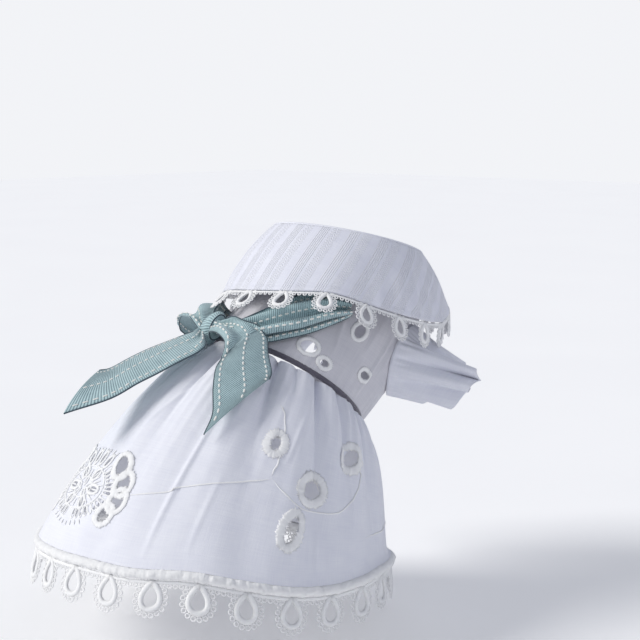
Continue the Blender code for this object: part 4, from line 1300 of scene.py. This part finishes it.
def make_sleeve(name, node, side):
    """Flutter ruffle: the flutes of its free edge deepen away from the seam."""
    points = sleeve_points(side, SLEEVE_FINE_COLUMNS, SLEEVE_FINE_ROWS)
    if side > 0:
        points = points[:, ::-1]
    pile = Pile()
    uv = cloth_uv(SLEEVE_FINE_ROWS, SLEEVE_FINE_COLUMNS, 2 * np.pi * ARMHOLE_RADIUS, SLEEVE_LENGTH)
    pile.grid(points, False, True, None, uv)
    piece = pile.build(name, cotton, [node], weld=False, thickness=SLEEVE_WALL,
                       offset=0.0)


def ribbon_grid(rows, along, across, pleat_reach):
    """Grid on a ribbon from its low to its high edge, with a crown like a parabola between them.

    Where the edges lie closer than the ribbon is wide, the spare width stands in pleats like a sine.
    """
    table = np.array(rows, float)
    places = np.arange(len(rows), dtype=float)
    at = np.linspace(0.0, len(rows) - 1.0, along)
    low_angle, low_height, low_rise, high_angle, high_height, high_rise = (
        hermite(at, places, table[:, k])[:, None] for k in range(6))
    v = np.linspace(0.0, 1.0, across)[None, :]
    angle = BOW_ANGLE + low_angle + (high_angle - low_angle) * v
    height = between(low_height, high_height, v) * RIBBON_WIDTH
    rise = between(low_rise, high_rise, v) * BOW_RISE + RIBBON_CROWN * 4 * v * (1 - v)
    points = body_point(angle, height, rise)
    wide = np.linalg.norm(points[:, -1:] - points[:, :1], axis=-1)
    spare = np.sqrt(np.maximum(RIBBON_WIDTH ** 2 - wide ** 2, 0.0))
    deep = np.minimum(spare / (4 * PLEATS), pleat_reach * np.min(rise, axis=1, keepdims=True))
    return body_point(angle, height, rise + deep * np.sin(2 * np.pi * PLEATS * v))


def make_ribbon(name, node, rows, pleat_reach):
    """Grosgrain ribbon with dark cords along its edges, painted shadow lines, and three rows of running
    stitches on both faces.
    """
    points = ribbon_grid(rows, RIBBON_STEPS * (len(rows) - 1), RIBBON_COLUMNS, pleat_reach)
    middle = points[:, RIBBON_COLUMNS // 2]
    run = np.concatenate([[0.0], np.cumsum(np.linalg.norm(np.diff(middle, axis=0), axis=1))])
    v = np.linspace(0, RIBBON_WIDTH, RIBBON_COLUMNS)
    uv = np.stack(np.broadcast_arrays(v[None, :], run[:, None]), -1)
    pile = Pile()
    pile.grid(points, False, False, None, uv)
    piece = pile.build(name, grosgrain, [node], weld=False, thickness=RIBBON_WALL,
                       offset=0.0)
    face = unit(np.cross(np.gradient(points, axis=0), np.gradient(points, axis=1)))
    # Dark cords along both edges: painted shadow lines
    edges = Pile()
    for column in (0, RIBBON_COLUMNS - 1):
        edge = tube(points[:, column], face[:, column], *EDGE_SHADOW_CORD, THREAD_SIDES, False)
        edges.grid(edge, False, True)
    edges.build(name + "_shadow_cords", edge_shadow_thread)
    thread = Pile()
    along = np.linspace(-1, 1, STITCH_SECTIONS)
    swell = np.sqrt(np.maximum(0.0, 1 - along ** 4))[:, None]
    place = STITCH_PITCH * (0.5 + np.arange(int(run[-1] / STITCH_PITCH)))
    s = place[:, None] + STITCH_LENGTH * along / 2
    for share in STITCH_ROWS:
        low = int(share * (RIBBON_COLUMNS - 1))
        part = share * (RIBBON_COLUMNS - 1) - low
        line = points[:, low] * (1 - part) + points[:, low + 1] * part
        path = np.stack([np.interp(s, run, line[:, k]) for k in range(3)], -1)
        normal = unit(np.stack([np.interp(s, run, face[:, low, k]) for k in range(3)], -1))
        for way in (1, -1):
            body = tube(path, normal * way, STITCH_WIDTH * swell, STITCH_HIGH * swell,
                        THREAD_SIDES, False, STITCH_LIFT)
            thread.grids(body, False, True)
    thread.build(name + "_stitches", stitch_thread)


def make_knot():
    """Wrapped knot: a pillow, square by powers of the cosine and the sine, whose radius ripples by
    a cosine in folds that run round it."""
    out = spoke(WAIST_TILT, np.array(BOW_ANGLE))
    up = axes(WAIST_TILT)[0]
    middle = body_point(np.array(BOW_ANGLE), np.array(0.0), np.array(KNOT_RISE * BOW_RISE))
    across = np.cross(up, out)
    v = np.linspace(0, np.pi, KNOT_ROWS)[:, None]
    u = (np.arange(KNOT_COLUMNS) * 2 * np.pi / KNOT_COLUMNS)[None, :]
    x = -np.sign(np.cos(v)) * np.abs(np.cos(v)) ** KNOT_SQUARENESS * KNOT_WIDTH / 2
    ring = np.sin(v) ** KNOT_ROUNDNESS
    fold = 1 + KNOT_FOLD * np.cos(v * KNOT_FOLDS + KNOT_FOLD_DRIFT * np.sin(u * 2)) * np.sin(v)
    points = (middle + x[..., None] * across
              + (ring * fold * np.cos(u))[..., None] * up * KNOT_HEIGHT / 2
              + (ring * fold * np.sin(u))[..., None] * out * KNOT_DEPTH / 2)
    uv = np.stack(np.broadcast_arrays(v * KNOT_WIDTH / KNOT_PATTERN, u * KNOT_HEIGHT / KNOT_PATTERN), -1)
    uv = np.concatenate([uv, uv[:, -1:] + KNOT_PATTERN_SEAM], 1)
    pile = Pile()
    pile.grid(points, False, True, None, uv)
    pile.build("bow_knot_wrap", grosgrain, ["bow_knot"])
    # Dark rings round the knot at the ribbon's edges: painted shadow lines
    edges = Pile()
    for row in KNOT_EDGE_SHADOW_ROWS:
        away = unit(points[row] - middle)
        edges.grid(tube(points[row], away, *KNOT_EDGE_SHADOW, THREAD_SIDES, True), True, True)
    edges.build("bow_knot_edge_shadows", edge_shadow_thread)


def node_group(name, inputs, outputs):
    """Empty shader group with named number and vector sockets."""
    tree = bpy.data.node_groups.new(name, "ShaderNodeTree")
    for label, kind, value in inputs:
        socket = tree.interface.new_socket(label, in_out="INPUT", socket_type=kind)
        if value is not None:
            socket.default_value = value
    for label in outputs:
        tree.interface.new_socket(label, in_out="OUTPUT", socket_type="NodeSocketFloat")
    return tree, tree.nodes.new("NodeGroupInput"), tree.nodes.new("NodeGroupOutput")


def maths(tree, operation, first, second=None, third=None, clamp=False):
    """Math node whose inputs are numbers or other nodes' sockets."""
    node = tree.nodes.new("ShaderNodeMath")
    node.operation = operation
    node.use_clamp = clamp
    for socket, value in zip(node.inputs, (first, second, third)):
        if isinstance(value, (int, float)):
            socket.default_value = value
        elif value is not None:
            tree.links.new(value, socket)
    return node.outputs[0]


def wave_of(tree, turns, waves=1):
    """Sine of a number of full turns."""
    return maths(tree, "SINE", maths(tree, "MULTIPLY", turns, 2 * np.pi * waves))


def band(tree, value, middle, half_width):
    """1 where a value lies within a band, 0 elsewhere."""
    off = maths(tree, "ABSOLUTE", maths(tree, "SUBTRACT", value, middle))
    return maths(tree, "LESS_THAN", off, half_width)


def scaled_sum(tree, first, first_share, second, second_share):
    """Two values, each times its share, added up."""
    return maths(tree, "ADD", maths(tree, "MULTIPLY", first, first_share),
                 maths(tree, "MULTIPLY", second, second_share))


def split_axes(tree, vector):
    """The three numbers of a vector."""
    split = tree.nodes.new("ShaderNodeSeparateXYZ")
    tree.links.new(vector, split.inputs[0])
    return split.outputs


def stretched_noise(tree, vector, scale, detail):
    """Noise that is finer along one axis than along another."""
    mapping = tree.nodes.new("ShaderNodeMapping")
    mapping.inputs["Scale"].default_value = scale
    tree.links.new(vector, mapping.inputs["Vector"])
    noise = tree.nodes.new("ShaderNodeTexNoise")
    noise.inputs["Scale"].default_value = 1.0
    noise.inputs["Detail"].default_value = detail
    tree.links.new(mapping.outputs[0], noise.inputs["Vector"])
    return noise.outputs["Fac"]


def weave_group():
    """Plain weave: two crossed waves, broken by slubs, the thick places of single threads."""
    tree, given, result = node_group(
        "weave", [("Vector", "NodeSocketVector", None), ("Spacing", "NodeSocketFloat", 0.0006)],
        ["Height", "Slub"])
    vector = given.outputs["Vector"]
    places = split_axes(tree, vector)
    waves = [wave_of(tree, maths(tree, "DIVIDE", places[axis], given.outputs["Spacing"]))
             for axis in range(2)]
    slub = scaled_sum(tree, stretched_noise(tree, vector, (SLUB_FINE, SLUB_LONG, 1.0), 2.0), 0.5,
                      stretched_noise(tree, vector, (SLUB_LONG, SLUB_FINE, 1.0), 2.0), 0.5)
    height = scaled_sum(tree, maths(tree, "MULTIPLY", *waves), WEAVE_DEPTH, slub, SLUB_DEPTH)
    tree.links.new(height, result.inputs["Height"])
    tree.links.new(slub, result.inputs["Slub"])
    return tree


def dobby_group():
    """Woven stripes: groups of fine raised lines with a zigzag column beside each group."""
    tree, given, result = node_group(
        "dobby_stripes", [("Vector", "NodeSocketVector", None), ("Repeat", "NodeSocketFloat", 0.02)],
        ["Height", "Mask"])
    places = split_axes(tree, given.outputs["Vector"])
    place = maths(tree, "FRACT", maths(tree, "DIVIDE", places[0], given.outputs["Repeat"]))
    line = maths(tree, "MAXIMUM", wave_of(tree, place, DOBBY_LINES), 0.0)
    line = maths(tree, "POWER", line, DOBBY_LINE_SHARPNESS)
    lines = maths(tree, "MULTIPLY", line, band(tree, place, *DOBBY_LINE_BAND))
    bend = maths(tree, "PINGPONG", maths(tree, "MULTIPLY", place, DOBBY_ZIGZAG_WAVES), 1.0)
    down = maths(tree, "ADD", maths(tree, "DIVIDE", places[1], DOBBY_ZIGZAG_PITCH),
                 maths(tree, "MULTIPLY", bend, DOBBY_ZIGZAG_BEND))
    zigzag = maths(tree, "MAXIMUM", wave_of(tree, down), 0.0)
    zigzags = maths(tree, "MULTIPLY", zigzag, band(tree, place, *DOBBY_ZIGZAG_BAND))
    both = maths(tree, "ADD", lines, maths(tree, "MULTIPLY", zigzags, DOBBY_ZIGZAG_HEIGHT))
    tree.links.new(both, result.inputs["Height"])
    tree.links.new(both, result.inputs["Mask"])
    return tree


def thread_group():
    """Fine fibres: small noise for the height, and a much larger one for uneven tone."""
    tree, given, result = node_group(
        "fibres", [("Vector", "NodeSocketVector", None), ("Scale", "NodeSocketFloat", 3000.0)],
        ["Height", "Tone"])
    for label, factor, detail in (("Height", 1.0, 3.0), ("Tone", TONE_SCALE_SHARE, 4.0)):
        noise = tree.nodes.new("ShaderNodeTexNoise")
        noise.inputs["Detail"].default_value = detail
        tree.links.new(given.outputs["Vector"], noise.inputs["Vector"])
        tree.links.new(maths(tree, "MULTIPLY", given.outputs["Scale"], factor), noise.inputs["Scale"])
        tree.links.new(noise.outputs["Fac"], result.inputs[label])
    return tree


def rib_group():
    """Grosgrain: round cross ribs along the ribbon, with fine threads across them."""
    tree, given, result = node_group(
        "cross_ribs", [("Vector", "NodeSocketVector", None), ("Spacing", "NodeSocketFloat", 0.0009)],
        ["Height", "Fine"])
    vector = given.outputs["Vector"]
    turns = maths(tree, "DIVIDE", split_axes(tree, vector)[1], given.outputs["Spacing"])
    rib = maths(tree, "ABSOLUTE", wave_of(tree, turns, 0.5))
    tree.links.new(rib, result.inputs["Height"])
    tree.links.new(stretched_noise(tree, vector, RIB_THREADS, 2.0), result.inputs["Fine"])
    return tree


def new_finish(name, roughness, sheen):
    """Matt material with a soft sheen; its colour and bump are linked afterwards."""
    finish = bpy.data.materials.new(name)
    finish.use_nodes = True
    shader = finish.node_tree.nodes["Principled BSDF"]
    shader.inputs["Roughness"].default_value = roughness
    shader.inputs["Sheen Weight"].default_value = sheen
    shader.inputs["Sheen Roughness"].default_value = 0.5
    shader.inputs["Specular IOR Level"].default_value = 0.25
    return finish, finish.node_tree, shader


def add_group(tree, group, vector, **values):
    """Places a shader group in a material with its own values."""
    node = tree.nodes.new("ShaderNodeGroup")
    node.node_tree = group
    tree.links.new(vector, node.inputs["Vector"])
    for label, value in values.items():
        node.inputs[label].default_value = value
    return node


def coordinates(tree, kind):
    """Object coordinates, or the place on the cloth that each piece's own UV map gives."""
    if kind == "object":
        return tree.nodes.new("ShaderNodeTexCoord").outputs["Object"]
    place = tree.nodes.new("ShaderNodeUVMap")
    place.uv_map = "cloth"
    return place.outputs[0]


def blend_colour(tree, factor, low, high):
    """Colour between two others by a factor from 0 to 1."""
    mix = tree.nodes.new("ShaderNodeMix")
    mix.data_type = "RGBA"
    mix.inputs["A"].default_value = (*low, 1.0)
    mix.inputs["B"].default_value = (*high, 1.0)
    tree.links.new(factor, mix.inputs["Factor"])
    return mix.outputs["Result"]


def bump(tree, shader, height, distance, strength):
    """Fine relief of a finish: a height of 1 stands out by the distance."""
    node = tree.nodes.new("ShaderNodeBump")
    node.inputs["Distance"].default_value = distance
    node.inputs["Strength"].default_value = strength
    tree.links.new(height, node.inputs["Height"])
    tree.links.new(node.outputs[0], shader.inputs["Normal"])


def cotton_finish(name, weave, fibres, low, high, dobby=None):
    """Crisp cotton: slubs and soft unevenness over white, with the weave in the bump."""
    finish, tree, shader = new_finish(name, 0.86, 0.25)
    cloth = coordinates(tree, "cloth")
    threads_node = add_group(tree, weave, cloth, Spacing=WEAVE_SPACING)
    tone = add_group(tree, fibres, coordinates(tree, "object"), Scale=1500.0)
    shade = maths(tree, "MULTIPLY_ADD", threads_node.outputs["Slub"], 1.5, -0.25)
    shade = maths(tree, "ADD", maths(tree, "MULTIPLY", shade, 0.7),
                  maths(tree, "MULTIPLY", tone.outputs["Tone"], 0.5), clamp=True)
    height = threads_node.outputs["Height"]
    if dobby is not None:
        stripes = add_group(tree, dobby, cloth, Repeat=DOBBY_REPEAT)
        height = maths(tree, "MULTIPLY_ADD", stripes.outputs["Height"], DOBBY_BUMP, height)
        lighter = maths(tree, "MULTIPLY_ADD", stripes.outputs["Mask"], *DOBBY_TONE)
        shade = maths(tree, "ADD", shade, lighter, clamp=True)
    tree.links.new(blend_colour(tree, shade, low, high), shader.inputs["Base Color"])
    bump(tree, shader, height, 0.00012, 0.8)
    return finish


def thread_finish(name, fibres, low, high, scale, distance, roughness=0.75):
    """Thread: uneven tone between two colours, with fibres in the bump."""
    finish, tree, shader = new_finish(name, roughness, 0.3)
    fine = add_group(tree, fibres, coordinates(tree, "object"), Scale=scale)
    tree.links.new(blend_colour(tree, fine.outputs["Tone"], low, high), shader.inputs["Base Color"])
    bump(tree, shader, fine.outputs["Height"], distance, 0.7)
    return finish


def ribbon_finish(name, ribs, fibres, low, high, spacing, distance):
    """Ribbed cloth: painted shade, lighter on the crests of the ribs and darker in the valleys between
    them, uneven by fine threads and by a soft tone.
    """
    finish, tree, shader = new_finish(name, 0.6, 0.35)
    cloth = coordinates(tree, "cloth")
    rib = add_group(tree, ribs, cloth, Spacing=spacing)
    tone = add_group(tree, fibres, coordinates(tree, "object"), Scale=1300.0)
    # Painted shade of the ribs: darker in their valleys, lighter on their crests
    shade = maths(tree, "MULTIPLY_ADD", rib.outputs["Height"], 0.7, -0.15)
    shade = maths(tree, "ADD", shade, maths(tree, "MULTIPLY", tone.outputs["Tone"], 0.6))
    shade = maths(tree, "ADD", shade, maths(tree, "MULTIPLY_ADD", rib.outputs["Fine"], 0.4, -0.2),
                  clamp=True)
    tree.links.new(blend_colour(tree, shade, low, high), shader.inputs["Base Color"])
    height = maths(tree, "MULTIPLY_ADD", rib.outputs["Fine"], 0.4, rib.outputs["Height"])
    bump(tree, shader, height, distance, 0.9)
    return finish


def soft_sun(name, towards, spread, power, colour):
    """Wide sun in a direction, whose spread in degrees softens its shadows."""
    data = bpy.data.lights.new(name, "SUN")
    data.energy = power
    data.angle = np.radians(spread)
    data.color = colour
    lamp = bpy.data.objects.new(name, data)
    lamp.rotation_mode = "QUATERNION"
    lamp.rotation_quaternion = Vector(towards).to_track_quat("Z", "Y")
    bpy.context.scene.collection.objects.link(lamp)


def make_studio():
    """Pale floor under the hem, white surroundings, and a key and a fill light."""
    lowest = cad_box[0][2]
    half = FLOOR_SIZE / 2
    mesh = bpy.data.meshes.new("floor")
    corners = [(-half, -half), (half, -half), (half, half), (-half, half)]
    mesh.from_pydata([(x, y, lowest - FLOOR_GAP) for x, y in corners], [], [(0, 1, 2, 3)])
    floor = bpy.data.objects.new("floor", mesh)
    bpy.context.scene.collection.objects.link(floor)
    finish, tree, shader = new_finish("pale_floor", 0.9, 0.0)
    noise = add_group(tree, fibre_nodes, coordinates(tree, "object"), Scale=60.0)
    tree.links.new(blend_colour(tree, noise.outputs["Tone"], FLOOR_LOW, FLOOR_HIGH),
                   shader.inputs["Base Color"])
    shader.inputs["Emission Color"].default_value = (*FLOOR_HIGH, 1.0)
    shader.inputs["Emission Strength"].default_value = FLOOR_GLOW
    mesh.materials.append(finish)
    world = bpy.data.worlds.new("studio")
    world.use_nodes = True
    tree = world.node_tree
    sky = tree.nodes["Background"]
    sky.inputs["Color"].default_value = (*SKY_COLOUR, 1.0)
    sky.inputs["Strength"].default_value = SKY_STRENGTH
    backdrop = tree.nodes.new("ShaderNodeBackground")
    backdrop.inputs["Color"].default_value = (*BACKDROP, 1.0)
    seen = tree.nodes.new("ShaderNodeLightPath").outputs["Is Camera Ray"]
    mix = tree.nodes.new("ShaderNodeMixShader")
    tree.links.new(seen, mix.inputs[0])
    tree.links.new(sky.outputs[0], mix.inputs[1])
    tree.links.new(backdrop.outputs[0], mix.inputs[2])
    tree.links.new(mix.outputs[0], tree.nodes["World Output"].inputs["Surface"])
    bpy.context.scene.world = world
    bpy.context.scene.view_settings.view_transform = "Standard"
    for name, towards, spread, power, colour in SUNS:
        soft_sun(name, towards, spread, power, colour)


def make_camera():
    """Camera at the photo's angle: turned and raised about a point in the dress."""
    a = np.radians(CAMERA_AZIMUTH)
    e = np.radians(CAMERA_ELEVATION)
    back = Vector((np.sin(a) * np.cos(e), -np.cos(a) * np.cos(e), np.sin(e)))
    data = bpy.data.cameras.new("camera")
    data.lens = CAMERA_LENS
    data.sensor_width = 36.0
    camera = bpy.data.objects.new("camera", data)
    camera.location = Vector(CAMERA_TARGET) + back * CAMERA_DISTANCE
    camera.rotation_mode = "QUATERNION"
    camera.rotation_quaternion = back.to_track_quat("Z", "Y")
    bpy.context.scene.collection.objects.link(camera)
    bpy.context.scene.camera = camera


weave_nodes = weave_group()
dobby_nodes = dobby_group()
fibre_nodes = thread_group()
rib_nodes = rib_group()
cotton = cotton_finish("white_cotton", weave_nodes, fibre_nodes, COTTON_SHADE, COTTON_LIGHT)
# Darker copy of the white cotton for the bodice: painted shade of the collar's shadow together with the
# grey of fur seen through the thin cloth
collar_shaded_cotton = cotton_finish("collar_shaded_cotton", weave_nodes, fibre_nodes, SHADED_BODICE_LOW, SHADED_BODICE_HIGH)
dobby_cotton = cotton_finish("dobby_cotton", weave_nodes, fibre_nodes, COTTON_SHADE, COTTON_LIGHT,
                             dobby_nodes)
lace_thread = thread_finish("lace_thread", fibre_nodes, LACE_LOW, LACE_HIGH, 4000.0, 0.00012)
fluffy_cotton = thread_finish("fluffy_cotton", fibre_nodes, LACE_LOW, LACE_HIGH, 2200.0, 0.0005, 0.9)
stitch_thread = thread_finish("stitch_thread", fibre_nodes, STITCH_TONE_LOW, STITCH_TONE_HIGH,
                              4000.0, 0.0001)
grosgrain = ribbon_finish("grosgrain", rib_nodes, fibre_nodes, RIBBON_LOW, RIBBON_HIGH, RIB_SPACING,
                          0.0005)
# Nearly black teal for the cords at the ribbon's edges: painted shadow lines
edge_shadow_thread = thread_finish("ribbon_edge_shadow", fibre_nodes, EDGE_SHADOW_LOW, EDGE_SHADOW_HIGH, 3000.0, 0.0001, 0.6)
piping_cloth = ribbon_finish("piping_cloth", rib_nodes, fibre_nodes, PIPING_LOW, PIPING_HIGH,
                             PIPING_RIB_SPACING, 0.0002)

make_camera()
make_skirt()
make_bodice()
make_collar()
make_embroidery()
make_lace("hem_lace_loops", "hem_lace", hem_fall, HEM_LACE_LOOPS, HEM_CORD_DIAMETER + 2 * CORD_GAP,
          HEM_LACE_HEADER, HEM_LACE_LENGTH, HEM_LOOP_WIDTH, HEM_LOOP_CORD, HEM_PICOT, HEM_PICOTS)
make_lace("collar_lace_loops", "collar_lace", collar_fall, COLLAR_LACE_LOOPS, LACE_GAP,
          COLLAR_LACE_HEADER, COLLAR_LACE_LENGTH, COLLAR_LOOP_WIDTH, COLLAR_LOOP_CORD, COLLAR_PICOT,
          COLLAR_PICOTS)
make_hem_cord()
make_piping()
make_neck_binding()
make_sleeve("sleeve_right_ruffle", "sleeve_right", 1)
make_sleeve("sleeve_left_ruffle", "sleeve_left", -1)
make_knot()
make_ribbon("loop_right_ribbon", "bow_loop_right", LOOP_RIGHT,
            LOOP_PLEAT_REACH)
make_ribbon("loop_left_ribbon", "bow_loop_left", LOOP_LEFT,
            LEFT_PLEAT_REACH)
make_ribbon("tail_right_ribbon", "bow_tail_right", TAIL_RIGHT,
            TAIL_PLEAT_REACH)
make_ribbon("tail_left_ribbon", "bow_tail_left", TAIL_LEFT,
            TAIL_PLEAT_REACH)
make_studio()
